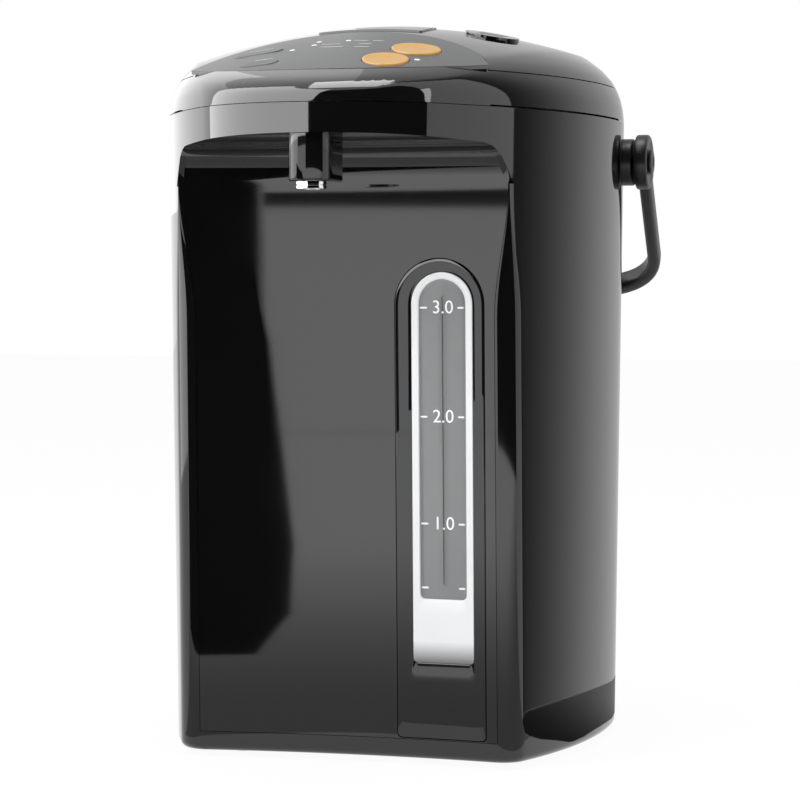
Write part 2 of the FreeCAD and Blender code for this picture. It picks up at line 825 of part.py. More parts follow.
for shift in (-6.0, -2.0, 2.0, 6.0):
    vents.append(crown_frame(valve_place, box(-6.5, 6.5, shift - 0.8, shift + 0.8, -1.0, 5.0)))
save("steam_cap", valve.cut(Part.makeCompound(vents)))

# Underside of the lid: a base, a steel plug and its gasket
base_outline = top_solid(top_wall + lid_base_gap, deck_bottom - 1.0)
lid_base = base_outline.common(box(-zone_reach, zone_reach, -zone_reach, zone_reach, lid_base_top,
                                   lid_base_top + lid_base_thickness))
lid_base = lid_base.cut(lens_back_circle(lid_gap + top_wall + lid_base_gap, 0.0, zone_top))
lid_base = lid_base.cut(box(-zone_reach, zone_reach, rear_edge - top_wall - lid_base_gap, zone_reach,
                            0, zone_top))
save("lid_base", lid_base)
plug_bottom = lid_base_top - plug_depth
plug = post(plug_radius, plug_bottom, lid_base_top)
save("lid_plug", plug.cut(post(plug_radius - plug_wall, plug_bottom + plug_wall, lid_base_top)))
seal_bottom = deck_top + lid_seal_gap
save("lid_seal", ring(mouth_radius + lid_seal_lap, plug_radius, seal_bottom, seal_bottom + lid_seal_thickness))

# Inner pot hung by its flange under the deck, with a seal between them
pot = post(pot_radius + pot_wall, pot_floor, pot_top + flange_thickness)
pot = pot.fuse(post(flange_radius, pot_top, pot_top + flange_thickness))
pot = pot.cut(post(pot_radius, pot_floor + pot_wall, pot_top + flange_thickness))
pot = pot.cut(post(inlet_pipe_radius - riser_wall, pot_floor, pot_floor + pot_wall, 0, -pump_reach))
save("inner_pot", pot)
seal_base = pot_top + flange_thickness
save("pot_seal", ring(flange_radius - 1.0, flange_radius - 1.0 - seal_width, seal_base, deck_bottom))

# Heater under the pot, with its thermostat and fuse
plate_bottom = pot_floor - heat_plate_thickness
heater_bottom = plate_bottom - heater_thickness
save("heat_plate", post(heat_plate_radius, plate_bottom, pot_floor))
save("heater_ring", ring(heater_radius, heater_radius - heater_width, heater_bottom, plate_bottom))
save("thermostat", post(thermostat_radius, plate_bottom - thermostat_height, plate_bottom, thermostat_offset, 0))
save("thermal_fuse", box(-thermostat_offset - fuse_size[0] / 2, -thermostat_offset + fuse_size[0] / 2,
                         -fuse_size[1] / 2, fuse_size[1] / 2, plate_bottom - fuse_size[2], plate_bottom))

# Pump: housing, motor and a rotor on one upright axis
pump_y = -pump_reach
housing = post(pump_radius, pump_bottom, pump_top, 0, pump_y)
housing = housing.cut(post(pump_radius - pump_wall, pump_bottom + pump_wall, pump_top - pump_wall, 0, pump_y))
housing = housing.cut(post(inlet_pipe_radius - riser_wall, pump_top - pump_wall, pump_top, 0, pump_y))
shaft_bore = post(shaft_radius + pin_clearance, base_top + plate_thickness, pump_bottom + pump_wall, 0, pump_y)
tube_x, tube_y = tube_place
outlet = point(tube_x, tube_y - pump_y, 0).normalize()
pump_middle = (pump_bottom + pump_top) / 2
outlet_start = point(0, pump_y, pump_middle) + outlet * (pump_radius - pump_wall * 0.5)
outlet_bore = Part.makeCylinder(riser_radius, pump_wall * 2, outlet_start - outlet * pump_wall, outlet)
save("pump_housing", housing.cut(shaft_bore).cut(outlet_bore))
save("pump_motor", post(motor_radius, base_top, pump_bottom, 0, pump_y).cut(shaft_bore))
rotor = post(shaft_radius, base_top + plate_thickness + 1.0, pump_middle, 0, pump_y)
impeller_base = pump_bottom + pump_wall + 2.0
rotor = rotor.fuse(post(impeller_radius, impeller_base, impeller_base + impeller_thickness, 0, pump_y))
rotor = rotor.fuse(post(impeller_hub, impeller_base, impeller_base + impeller_thickness + blade_height, 0, pump_y))
for i in range(blade_count):
    blade = box(0, impeller_radius, -blade_thickness / 2, blade_thickness / 2, impeller_base,
                impeller_base + impeller_thickness + blade_height)
    blade.rotate(point(0, 0, 0), Z_AXIS, 360.0 * i / blade_count)
    blade.translate(point(0, pump_y, 0))
    rotor = rotor.fuse(blade)
save("pump_rotor", rotor.removeSplitter())
save("inlet_pipe", ring(inlet_pipe_radius, inlet_pipe_radius - riser_wall, pump_top, pot_floor, 0, pump_y))

# Riser: from the pump to the gauge tube, and on to the nozzle
corner = point(tube_x, tube_y, pump_middle)
tube_end = point(tube_x, tube_y, tube_bottom)
save("lower_riser", bent_tube([outlet_start, corner, tube_end], riser_bend, riser_radius, riser_wall))
upper_spots = [point(tube_x, tube_y, tube_top), point(tube_x, tube_y, riser_height),
               point(0, -nozzle_reach, riser_height), point(0, -nozzle_reach, ring_bottom + 1.0)]
save("upper_riser", bent_tube(upper_spots, riser_bend, riser_radius, riser_wall))
save("gauge_tube", ring(tube_radius, tube_radius - tube_wall, tube_bottom, tube_top, tube_x, tube_y))
riser_space = post(riser_radius + ring_gap, nozzle_bottom - 5, nozzle_top + 5, 0, -nozzle_reach)
save("nozzle_body", nozzle_block(0.0, nozzle_top).cut(riser_space))
save("nozzle_ring", ring(ring_radius, riser_radius + ring_gap, ring_bottom, nozzle_bottom, 0, -nozzle_reach))

# Water gauge: smoked cover, pale frame, clear pane, and the holder of the tube
cover = cover_prism.common(panel_slab(cover_front, cover_back, 0, seam_height)).cut(frame_prism)
save("gauge_cover", cover)
frame_block = frame_prism.common(panel_slab(frame_front, cover_back, 0, seam_height))
save("gauge_frame", frame_block.cut(window_tool))
save("gauge_pane", window_tool.common(panel_slab(-window_sink, cover_back, 0, seam_height)))
behind_panel = panel_slab(beak_reach, case_wall + holder_gap, 0, seam_height)
holder_back = tube_y + tube_radius + ring_gap
sockets = []
for z0, z1 in ((tube_bottom - socket_length, tube_bottom + socket_length),
               (tube_top - socket_length, tube_top + socket_length)):
    sockets.append(ring(tube_radius + socket_wall, tube_radius + socket_gap, z0, z1, tube_x, tube_y))
holder_low = tube_bottom - socket_length
holder_high = tube_top + socket_length
outer_half = gauge_half_width + holder_wall
holder = box(gauge_centre - outer_half, gauge_centre + outer_half, tube_y - 30.0, holder_back + holder_wall,
             holder_low, holder_high)
holder = holder.cut(box(gauge_centre - gauge_half_width, gauge_centre + gauge_half_width, tube_y - 31.0,
                        holder_back, holder_low - 1, holder_high + 1))
holder = holder.cut(behind_panel).multiFuse(sockets)
save("gauge_holder", holder)
digits_plate = box(frame_centre - frame_half_width, tube_x - tube_radius - 2.0, tube_y - 4.0,
                   tube_y - 3.0, window_bottom - 5, frame_top)
save("gauge_scale", digits_plate.fuse(box(frame_centre - frame_half_width, frame_centre - frame_half_width + 2.0,
                                          tube_y - 4.0, holder_back, window_bottom, frame_top - 20)))

# Base plate with posts under the heater, feet and screws
base_levels = []
for z in (base_height, base_top):
    base_levels.append(case_wire(z, edge_round + case_wall + plate_gap))
base_plate = Part.makeLoft(base_levels, True, True)
for x in (-post_place, post_place):
    for y in (-post_place, post_place):
        base_plate = base_plate.fuse(post(post_radius, base_height, plate_bottom, x, y))
board_half_x = power_board_size[0] / 2
board_half_y = power_board_size[1] / 2
board_z = base_top + power_board_rise
for x in (-board_half_x + standoff_radius, board_half_x - standoff_radius):
    for y in (power_board_y - board_half_y + standoff_radius, power_board_y + board_half_y - standoff_radius):
        base_plate = base_plate.fuse(post(standoff_radius, base_height, board_z, x, y))
screws = []
for x, y in screw_places:
    for side in (-1, 1):
        base_plate = base_plate.cut(post(screw_radius + screw_clearance, 0, base_top, side * x, y))
        screw = post(screw_radius, base_height, base_height + screw_length, side * x, y)
        head = post(screw_head_radius, base_height - screw_head_height, base_height, side * x, y)
        screws.append(screw.fuse(head))
save("base_plate", base_plate)
save("base_screws", Part.makeCompound(screws))
feet = []
for x, y in foot_places:
    feet.append(post(foot_radius, 0, base_height, x, y))
save("rubber_feet", Part.makeCompound(feet))

# Power board and the plug socket at the back
board_top = board_z + board_thickness
save("power_board", box(-board_half_x, board_half_x, power_board_y - board_half_y,
                        power_board_y + board_half_y, board_z, board_top))
capacitor = post(capacitor_radius, board_top, board_top + capacitor_height, -capacitor_radius * 2, power_board_y)
transformer = box(2.0, 22.0, power_board_y - 9.0, power_board_y + 9.0, board_top, board_top + 15.0)
save("power_board_parts", Part.makeCompound([capacitor, transformer]))
inlet_back = radius_at(inlet_rise)
inlet = box(-inlet_size[0] / 2 + socket_gap, inlet_size[0] / 2 - socket_gap, inlet_back - inlet_depth,
            inlet_back + inlet_stand, inlet_rise - inlet_size[1] / 2 + socket_gap,
            inlet_rise + inlet_size[1] / 2 - socket_gap)
recess = box(-inlet_size[0] / 2 + inlet_wall, inlet_size[0] / 2 - inlet_wall, inlet_back - inlet_recess,
             inlet_back + inlet_stand, inlet_rise - inlet_size[1] / 2 + inlet_wall,
             inlet_rise + inlet_size[1] / 2 - inlet_wall)
save("power_inlet", inlet.cut(recess))
contacts = []
for x in (-contact_spacing / 2, contact_spacing / 2):
    contacts.append(Part.makeCylinder(contact_radius, contact_length,
                                      point(x, inlet_back - inlet_recess, inlet_rise), point(0, 1, 0)))
save("inlet_contacts", Part.makeCompound(contacts))
print("axis_y", axis_y, "handle_reach", handle_reach)
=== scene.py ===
"""Looks of the electric thermo pot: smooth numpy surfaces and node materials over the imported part."""

import json
import logging
import math
from dataclasses import dataclass, field
from enum import Enum

import bmesh
import bpy
import numpy as np
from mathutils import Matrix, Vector


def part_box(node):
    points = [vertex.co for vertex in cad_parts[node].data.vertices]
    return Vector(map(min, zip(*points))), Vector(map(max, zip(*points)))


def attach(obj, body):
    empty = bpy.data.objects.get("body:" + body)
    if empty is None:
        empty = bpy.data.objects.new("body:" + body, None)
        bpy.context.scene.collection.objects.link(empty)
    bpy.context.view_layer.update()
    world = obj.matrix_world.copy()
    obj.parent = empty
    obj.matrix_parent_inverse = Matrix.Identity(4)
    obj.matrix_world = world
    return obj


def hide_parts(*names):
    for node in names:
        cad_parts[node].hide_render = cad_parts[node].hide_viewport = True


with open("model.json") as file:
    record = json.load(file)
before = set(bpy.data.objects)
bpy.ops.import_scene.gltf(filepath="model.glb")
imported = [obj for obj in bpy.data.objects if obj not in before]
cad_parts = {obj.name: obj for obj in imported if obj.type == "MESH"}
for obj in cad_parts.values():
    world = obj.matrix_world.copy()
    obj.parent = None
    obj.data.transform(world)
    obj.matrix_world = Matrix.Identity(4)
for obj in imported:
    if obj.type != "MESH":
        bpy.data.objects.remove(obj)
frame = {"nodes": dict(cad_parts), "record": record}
LOG = logging.getLogger("thermo_pot")
MM = 0.001
AXIS_Y = 26.476174
MERGE = 1e-6
SHARP = 32.0
BOSS_ROOT = 88.0
WHITE = (1.0, 1.0, 1.0, 1.0)
Array = np.ndarray


class Grain(Enum):
    """Fine relief of a finish."""

    POLISHED = "polished"
    MOULDED = "moulded"
    SATIN = "satin"
    BRUSHED = "brushed"
    TURNED = "turned"
    BOARD = "board"


class Socket:
    """A value in a node tree; arithmetic on it adds Math nodes."""

    def __init__(self, net: "NodeNet", link: bpy.types.NodeSocket) -> None:
        """Wraps link, an output of a node in net."""
        self.net = net
        self.link = link

    def maths(self, operation: str, first: object, second: object) -> "Socket":
        """Adds a Math node.

        Args:
            operation: Name of the Math operation.
            first: Upper operand, a Socket or a number.
            second: Lower operand, a Socket or a number.

        Returns:
            The result as a Socket.
        """
        return self.net.add("ShaderNodeMath", {"operation": operation}, {0: first, 1: second})

    def __add__(self, other: object) -> "Socket":
        """Sum."""
        return self.maths("ADD", self, other)

    def __sub__(self, other: object) -> "Socket":
        """Difference."""
        return self.maths("SUBTRACT", self, other)

    def __rsub__(self, other: object) -> "Socket":
        """Difference, reflected."""
        return self.maths("SUBTRACT", other, self)

    def __mul__(self, other: object) -> "Socket":
        """Product."""
        return self.maths("MULTIPLY", self, other)

    def __gt__(self, other: object) -> "Socket":
        """1 where self is larger."""
        return self.maths("GREATER_THAN", self, other)

    __radd__ = __add__
    __rmul__ = __mul__


class NodeNet:
    """Node tree of one material or of the world."""

    def __init__(self, owner: object) -> None:
        """Empties the node tree of owner."""
        owner.use_nodes = True
        self.tree = owner.node_tree
        self.tree.nodes.clear()

    def add(self, kind: str, settings: dict, values: dict, output: object = 0) -> Socket:
        """Adds a node.

        Args:
            kind: Type of the node.
            settings: Attributes set before the sockets.
            values: Value or Socket of each input, by name or index.
            output: Name or index of the output to return.

        Returns:
            The chosen output.
        """
        node = self.tree.nodes.new(kind)
        for key, value in settings.items():
            setattr(node, key, value)
        for key, value in values.items():
            if isinstance(value, Socket):
                self.tree.links.new(value.link, node.inputs[key])
            else:
                node.inputs[key].default_value = value
        return Socket(self, node.outputs[output])

    def coordinates(self, stretch: tuple[float, float, float] = (1.0, 1.0, 1.0)) -> Socket:
        """Object coordinates, scaled by stretch."""
        place = self.add("ShaderNodeTexCoord", {}, {}, "Object")
        return self.add("ShaderNodeMapping", {}, {"Vector": place, "Scale": stretch})

    def noise(self, scale: float, detail: float, vector: Socket) -> Socket:
        """Noise between 0 and 1 on vector."""
        return self.add("ShaderNodeTexNoise", {}, {"Scale": scale, "Detail": detail, "Vector": vector}, "Fac")

    def mix(self, factor: object, first: object, second: object) -> Socket:
        """Colour between first and second."""
        return self.add("ShaderNodeMix", {"data_type": "RGBA"}, {0: factor, 6: first, 7: second}, 2)


@dataclass(frozen=True)
class Finish:
    """A finish with its colour variation, smudges, hairlines, fine relief and optional glow (painted brightness on
    parts that are no lamps).
    """

    name: str
    colour: tuple[float, float, float]
    second: tuple[float, float, float]
    grain: Grain = Grain.MOULDED
    roughness: float = 0.4
    smudge: float = 0.1
    hairlines: float = 0.0
    relief: float = 0.02
    metallic: float = 0.0
    coat: float = 0.0
    specular: float = 0.5
    transmission: float = 0.0
    # glow: emission strength in the colour; on silver_trim, scale and ink it is painted brightness, on lamp the
    # lamp's own light
    alpha: float = 1.0
    glow: float = 0.0
    patch_scale: float = 60.0
    grain_scale: float = 2500.0
    fade_low: float = 0.0
    fade_high: float = 0.0

    def build(self) -> bpy.types.Material:
        """Makes the material.

        Colour is second + (colour - second) * patches. Roughness is its base, plus smudge times
        slow noise, plus hairlines where a stretched noise is high. Relief is a bump of fine noise.

        Returns:
            The material.
        """
        material = bpy.data.materials.new(self.name)
        net = NodeNet(material)
        place = net.coordinates()
        stretch = {Grain.BRUSHED: (1.0, 1.0, 0.02), Grain.TURNED: (0.05, 0.05, 1.0)}
        fine = net.coordinates(stretch.get(self.grain, (1.0, 1.0, 1.0)))
        patches = net.noise(self.patch_scale, 3.0, place)
        specks = net.noise(self.grain_scale, 2.0, fine)
        blend = patches * 0.6 + specks * 0.4
        colour = net.mix(blend, (*self.second, 1.0), (*self.colour, 1.0))
        rough = (patches - 0.5) * self.smudge + self.roughness + (specks - 0.5) * (self.smudge * 0.5)
        if self.hairlines:
            lines = net.noise(900.0, 2.0, net.coordinates((1.0, 1.0, 0.04))) > 0.68
            rough = rough + lines * self.hairlines
        if self.grain is Grain.BOARD:
            tracks = net.add("ShaderNodeTexBrick", {}, {"Vector": place, "Scale": 220.0, "Mortar Size": 0.03},
                             "Fac")
            colour = net.mix(tracks * 0.7, colour, (0.16, 0.30, 0.10, 1.0))
        # where fade_high is set, colour goes to near black below fade_low and is full above fade_high: darker
        # towards the bottom
        if self.fade_high:
            height = net.add("ShaderNodeSeparateXYZ", {}, {"Vector": place}, "Z")
            full = net.add("ShaderNodeMapRange", {},
                           {"Value": height, "From Min": self.fade_low, "From Max": self.fade_high})
            colour = net.mix(full, (0.02, 0.02, 0.021, 1.0), colour)
        bump = net.add("ShaderNodeBump", {}, {"Height": specks, "Strength": 0.35, "Distance": self.relief * MM})
        values = {
            "Base Color": colour, "Roughness": rough, "Normal": bump, "Metallic": self.metallic,
            "Coat Weight": self.coat, "Coat Roughness": 0.04, "Specular IOR Level": self.specular,
            "Transmission Weight": self.transmission, "Alpha": self.alpha,
            # emission from glow: painted brightness on silver_trim, scale and ink; the lamp finish's own light
            "Emission Color": colour if self.glow else (0.0, 0.0, 0.0, 1.0), "Emission Strength": self.glow,
        }
        shader = net.add("ShaderNodeBsdfPrincipled", {}, values)
        end = net.tree.nodes.new("ShaderNodeOutputMaterial")
        net.tree.links.new(shader.link, end.inputs["Surface"])
        return material


FINISHES = {
    "gloss_black": Finish("gloss_black", (0.0055, 0.0055, 0.006), (0.004, 0.004, 0.0042), Grain.POLISHED, 0.045,
                          0.02, 0.012,
                          0.002, coat=0.5),
    "panel_black": Finish("panel_black", (0.005, 0.005, 0.0055), (0.0038, 0.0038, 0.004), Grain.POLISHED, 0.035,
                          0.02, 0.012,
                          0.002, coat=0.7),
    "handle_black": Finish("handle_black", (0.012, 0.012, 0.013), (0.008, 0.008, 0.009), Grain.MOULDED, 0.34, 0.1,
                           0.0,
                           0.03, grain_scale=3500.0),
    "steel": Finish("steel", (0.62, 0.62, 0.61), (0.52, 0.52, 0.52), Grain.BRUSHED, 0.28, 0.12, 0.05, 0.008,
                    metallic=1.0),
    "panel_grey": Finish("panel_grey", (0.105, 0.107, 0.109), (0.088, 0.09, 0.092), Grain.SATIN, 0.4, 0.06, 0.0,
                         0.008, coat=0.05, grain_scale=4200.0),
    "lamp": Finish("lamp", (0.9, 0.92, 0.95), (0.75, 0.78, 0.82), Grain.POLISHED, 0.25, 0.05, glow=0.35),
    "amber": Finish("amber", (0.74, 0.40, 0.075), (0.60, 0.30, 0.05), Grain.SATIN, 0.34, 0.08, 0.0, 0.01,
                    coat=0.25),
    "key_grey": Finish("key_grey", (0.095, 0.097, 0.099), (0.08, 0.082, 0.084), Grain.SATIN, 0.38, 0.06, 0.0, 0.01),
    "board": Finish("board", (0.03, 0.13, 0.06), (0.02, 0.09, 0.045), Grain.BOARD, 0.42, 0.1),
    "inner_plastic": Finish("inner_plastic", (0.46, 0.46, 0.44), (0.38, 0.38, 0.37), Grain.MOULDED, 0.5, 0.12, 0.0,
                            0.03),
    "seal": Finish("seal", (0.55, 0.54, 0.52), (0.46, 0.45, 0.43), Grain.SATIN, 0.55, 0.1, 0.0, 0.02),
    "aluminium": Finish("aluminium", (0.68, 0.69, 0.70), (0.58, 0.59, 0.60), Grain.TURNED, 0.34, 0.1, 0.04, 0.01,
                        metallic=1.0),
    "clear": Finish("clear", (0.97, 0.98, 0.98), (0.93, 0.95, 0.95), Grain.POLISHED, 0.03, 0.02, 0.0, 0.001,
                    transmission=1.0),
    "window": Finish("window", (0.40, 0.405, 0.41), (0.34, 0.345, 0.35), Grain.SATIN, 0.22, 0.05, 0.0, 0.004,
                     coat=0.3, alpha=0.62),
    "chrome": Finish("chrome", (0.86, 0.86, 0.87), (0.80, 0.80, 0.82), Grain.POLISHED, 0.07, 0.04, 0.02, 0.002,
                     metallic=1.0),
    "smoke": Finish("smoke", (0.008, 0.008, 0.009), (0.005, 0.005, 0.006), Grain.POLISHED, 0.06, 0.03, 0.01, 0.002,
                    coat=0.4),
    # silver_trim: glow is painted brightness on the gauge frame; fade_low/fade_high darken its colour to near black
    # towards the frame's bottom
    "silver_trim": Finish("silver_trim", (0.86, 0.87, 0.88), (0.80, 0.81, 0.82), Grain.SATIN, 0.3, 0.06, 0.0, 0.006,
                          coat=0.2, glow=0.18, fade_low=0.046, fade_high=0.058),
    # scale: glow is painted brightness on the scale print
    "scale": Finish("scale", (0.34, 0.345, 0.35), (0.29, 0.295, 0.30), Grain.SATIN, 0.45, 0.06, 0.0, 0.01,
                    glow=0.12),
    "rubber": Finish("rubber", (0.03, 0.03, 0.03), (0.02, 0.02, 0.02), Grain.MOULDED, 0.75, 0.1, 0.0, 0.05),
    "brass": Finish("brass", (0.75, 0.56, 0.25), (0.66, 0.47, 0.19), Grain.TURNED, 0.25, 0.1, 0.05, 0.005,
                    metallic=1.0),
    # ink: glow is painted brightness on the white printed digits and ticks
    "ink": Finish("ink", (0.88, 0.89, 0.90), (0.80, 0.81, 0.82), Grain.SATIN, 0.5, 0.08, glow=0.3),
    "pale_ink": Finish("pale_ink", (0.62, 0.63, 0.64), (0.54, 0.55, 0.56), Grain.SATIN, 0.5, 0.08),
}


class Paintbox:
    """Builds each finish once and hands it out."""

    def __init__(self) -> None:
        """Starts empty."""
        self.made: dict[str, bpy.types.Material] = {}

    def get(self, name: str) -> bpy.types.Material:
        """The material of a finish, made when first asked for."""
        if name not in self.made:
            self.made[name] = FINISHES[name].build()
        return self.made[name]


PAINT = Paintbox()


def to_frame(points: Array) -> Array:
    """Body-axis millimetres to frame metres: (x, y + axis, z) / 1000."""
    return (points + np.array([0.0, AXIS_Y, 0.0])) * MM


def arc(cx: Array, cy: Array, radius: Array, start: Array, end: Array, count: int) -> Array:
    """Level arcs, one per row: centre + radius * (cos a, sin a), a from start to end.

    Args:
        cx, cy, radius, start, end: Numbers or columns of shape (rows, 1).
        count: Points along each arc.

    Returns:
        Array of shape (rows, count, 2).
    """
    angle = start + (end - start) * np.linspace(0.0, 1.0, count)[None, :]
    return np.stack([cx + radius * np.cos(angle), cy + radius * np.sin(angle)], axis=2)


def smooth_table(xs: Array, ys: Array, at: Array) -> Array:
    """Natural cubic spline through (xs, ys), read at each value of at."""
    h = np.diff(xs)
    n = len(xs)
    system = np.eye(n)
    right = np.zeros(n)
    for i in range(1, n - 1):
        system[i, i - 1:i + 2] = (h[i - 1], 2 * (h[i - 1] + h[i]), h[i])
        right[i] = 6 * ((ys[i + 1] - ys[i]) / h[i] - (ys[i] - ys[i - 1]) / h[i - 1])
    bend = np.linalg.solve(system, right)
    i = np.clip(np.searchsorted(xs, at) - 1, 0, n - 2)
    a, b = xs[i + 1] - at, at - xs[i]
    return (bend[i] * a ** 3 + bend[i + 1] * b ** 3) / (6 * h[i]) + (ys[i] / h[i] - bend[i] * h[i] / 6) * a + (
        ys[i + 1] / h[i] - bend[i + 1] * h[i] / 6) * b


def grid_faces(rows: int, columns: int, wrap_rows: bool, wrap_columns: bool) -> Array:
    """Quads of a grid of rows by columns, closed round where wrapped."""
    i = np.arange(rows if wrap_rows else rows - 1)
    j = np.arange(columns if wrap_columns else columns - 1)
    i, j = (part.ravel() for part in np.meshgrid(i, j, indexing="ij"))
    k, m = (i + 1) % rows, (j + 1) % columns
    return np.stack([i * columns + j, i * columns + m, k * columns + m, k * columns + j], axis=1)


def slab(outer: Array, inner: Array, wrap: bool) -> tuple[Array, Array]:
    """Closed wall between two grids: both faces and the edges that join them.

    Args:
        outer: Grid of shape (rows, columns, 3).
        inner: Grid of the same shape.
        wrap: True if the columns run all round.

    Returns:
        Vertices and quads.
    """
    rows, columns = outer.shape[:2]
    stack = np.concatenate([outer, inner[::-1]])
    faces = grid_faces(2 * rows, columns, True, wrap)
    if not wrap:
        i = np.arange(rows - 1)
        far = 2 * rows - 1 - i
        for j in (0, columns - 1):
            end = np.stack([i, i + 1, far - 1, far], axis=1) * columns + j
            faces = np.concatenate([faces, end])
    return stack.reshape(-1, 3), faces


def finish_mesh(work: bmesh.types.BMesh, made: bpy.types.Mesh) -> None:
    """Merges equal points of closed parts, turns their faces outward and writes them into a mesh."""
    bmesh.ops.remove_doubles(work, verts=work.verts, dist=MERGE)
    bmesh.ops.recalc_face_normals(work, faces=work.faces)
    work.to_mesh(made)
    work.free()


def add_piece(name: str, parts: list[tuple[Array, Array]], body: str, slot: str, finish: str = "",
              replaced: tuple[str, ...] = (), angle: float = SHARP) -> bpy.types.Object:
    """Makes an object from closed parts, in body-axis millimetres.

    Args:
        name: Name of the piece.
        parts: Vertices and quads of each part.
        body: Body that it rides on.
        slot: Material slot of the record.
        finish: Finish, if it isn't the slot's own.
        replaced: CAD nodes that it stands for.
        angle: Edges sharper than this many degrees stay sharp.

    Returns:
        The object.
    """
    work = bmesh.new()
    for points, faces in parts:
        mesh = bpy.data.meshes.new("part")
        mesh.from_pydata(to_frame(points).tolist(), [], faces.tolist())
        work.from_mesh(mesh)
        bpy.data.meshes.remove(mesh)
    made = bpy.data.meshes.new(name)
    finish_mesh(work, made)
    return set_up(name, made, body, slot, finish, replaced, angle)


def set_up(name: str, made: bpy.types.Mesh, body: str, slot: str, finish: str, replaced: tuple[str, ...],
           angle: float) -> bpy.types.Object:
    """Links, shades, paints and attaches a mesh; Args and Returns as add_piece."""
    made.shade_smooth()
    made.set_sharp_from_angle(angle=math.radians(angle))
    made.materials.clear()
    made.materials.append(PAINT.get(finish or slot))
    piece = bpy.data.objects.new(name, made)
    bpy.context.scene.collection.objects.link(piece)
    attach(piece, body)
    if replaced:
        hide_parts(*replaced)
    LOG.info("%s: %d faces on %s", name, len(made.polygons), body)
    return piece


def cut_with(piece: bpy.types.Object, cutters: list[tuple[Array, Array]]) -> None:
    """Cuts closed parts out of a piece and keeps the result in its mesh."""
    for points, faces in cutters:
        mesh = bpy.data.meshes.new("cutter")
        mesh.from_pydata(to_frame(points).tolist(), [], faces.tolist())
        tool = bpy.data.objects.new("cutter", mesh)
        work = bmesh.new()
        work.from_mesh(mesh)
        finish_mesh(work, mesh)
        bpy.context.scene.collection.objects.link(tool)
        change = piece.modifiers.new("cut", "BOOLEAN")
        change.object, change.operation, change.solver = tool, "DIFFERENCE", "EXACT"
        graph = bpy.context.evaluated_depsgraph_get()
        result = bpy.data.meshes.new_from_object(piece.evaluated_get(graph))
        piece.modifiers.clear()
        piece.data = result
        bpy.data.objects.remove(tool)
    piece.data.shade_smooth()
    piece.data.set_sharp_from_angle(angle=math.radians(SHARP))


def turned(profile: Array, origin: Array, axis: Array, count: int = 64) -> tuple[Array, Array]:
    """Solid of revolution: origin + h * axis + r * (cos a, sin a) across it, for (r, h) of the profile."""
    axis = np.asarray(axis, float) / np.linalg.norm(axis)
    aside = np.cross(axis, [0.0, 1.0, 0.3])
    aside /= np.linalg.norm(aside)
    across = np.cross(axis, aside)
    angle = np.linspace(0.0, 2 * math.pi, count, endpoint=False)
    ring = np.cos(angle)[:, None] * aside + np.sin(angle)[:, None] * across
    profile = np.asarray(profile, float)
    points = np.asarray(origin, float) + profile[:, None, 1:] * axis + profile[:, None, :1] * ring[None]
    return points.reshape(-1, 3), grid_faces(len(profile), count, False, True)


def rounded_ends(radius: float, low: float, high: float, edge: float, steps: int = 5) -> Array:
    """Profile of a rod with rounded rims: quarter arcs of size edge at both ends."""
    a = np.linspace(0.0, math.pi / 2, steps)
    lower = np.stack([radius - edge + edge * np.sin(a), low + edge - edge * np.cos(a)], axis=1)
    upper = np.stack([radius - edge + edge * np.cos(a), high - edge + edge * np.sin(a)], axis=1)
    return np.concatenate([[[0.0, low]], lower, upper, [[0.0, high]]])


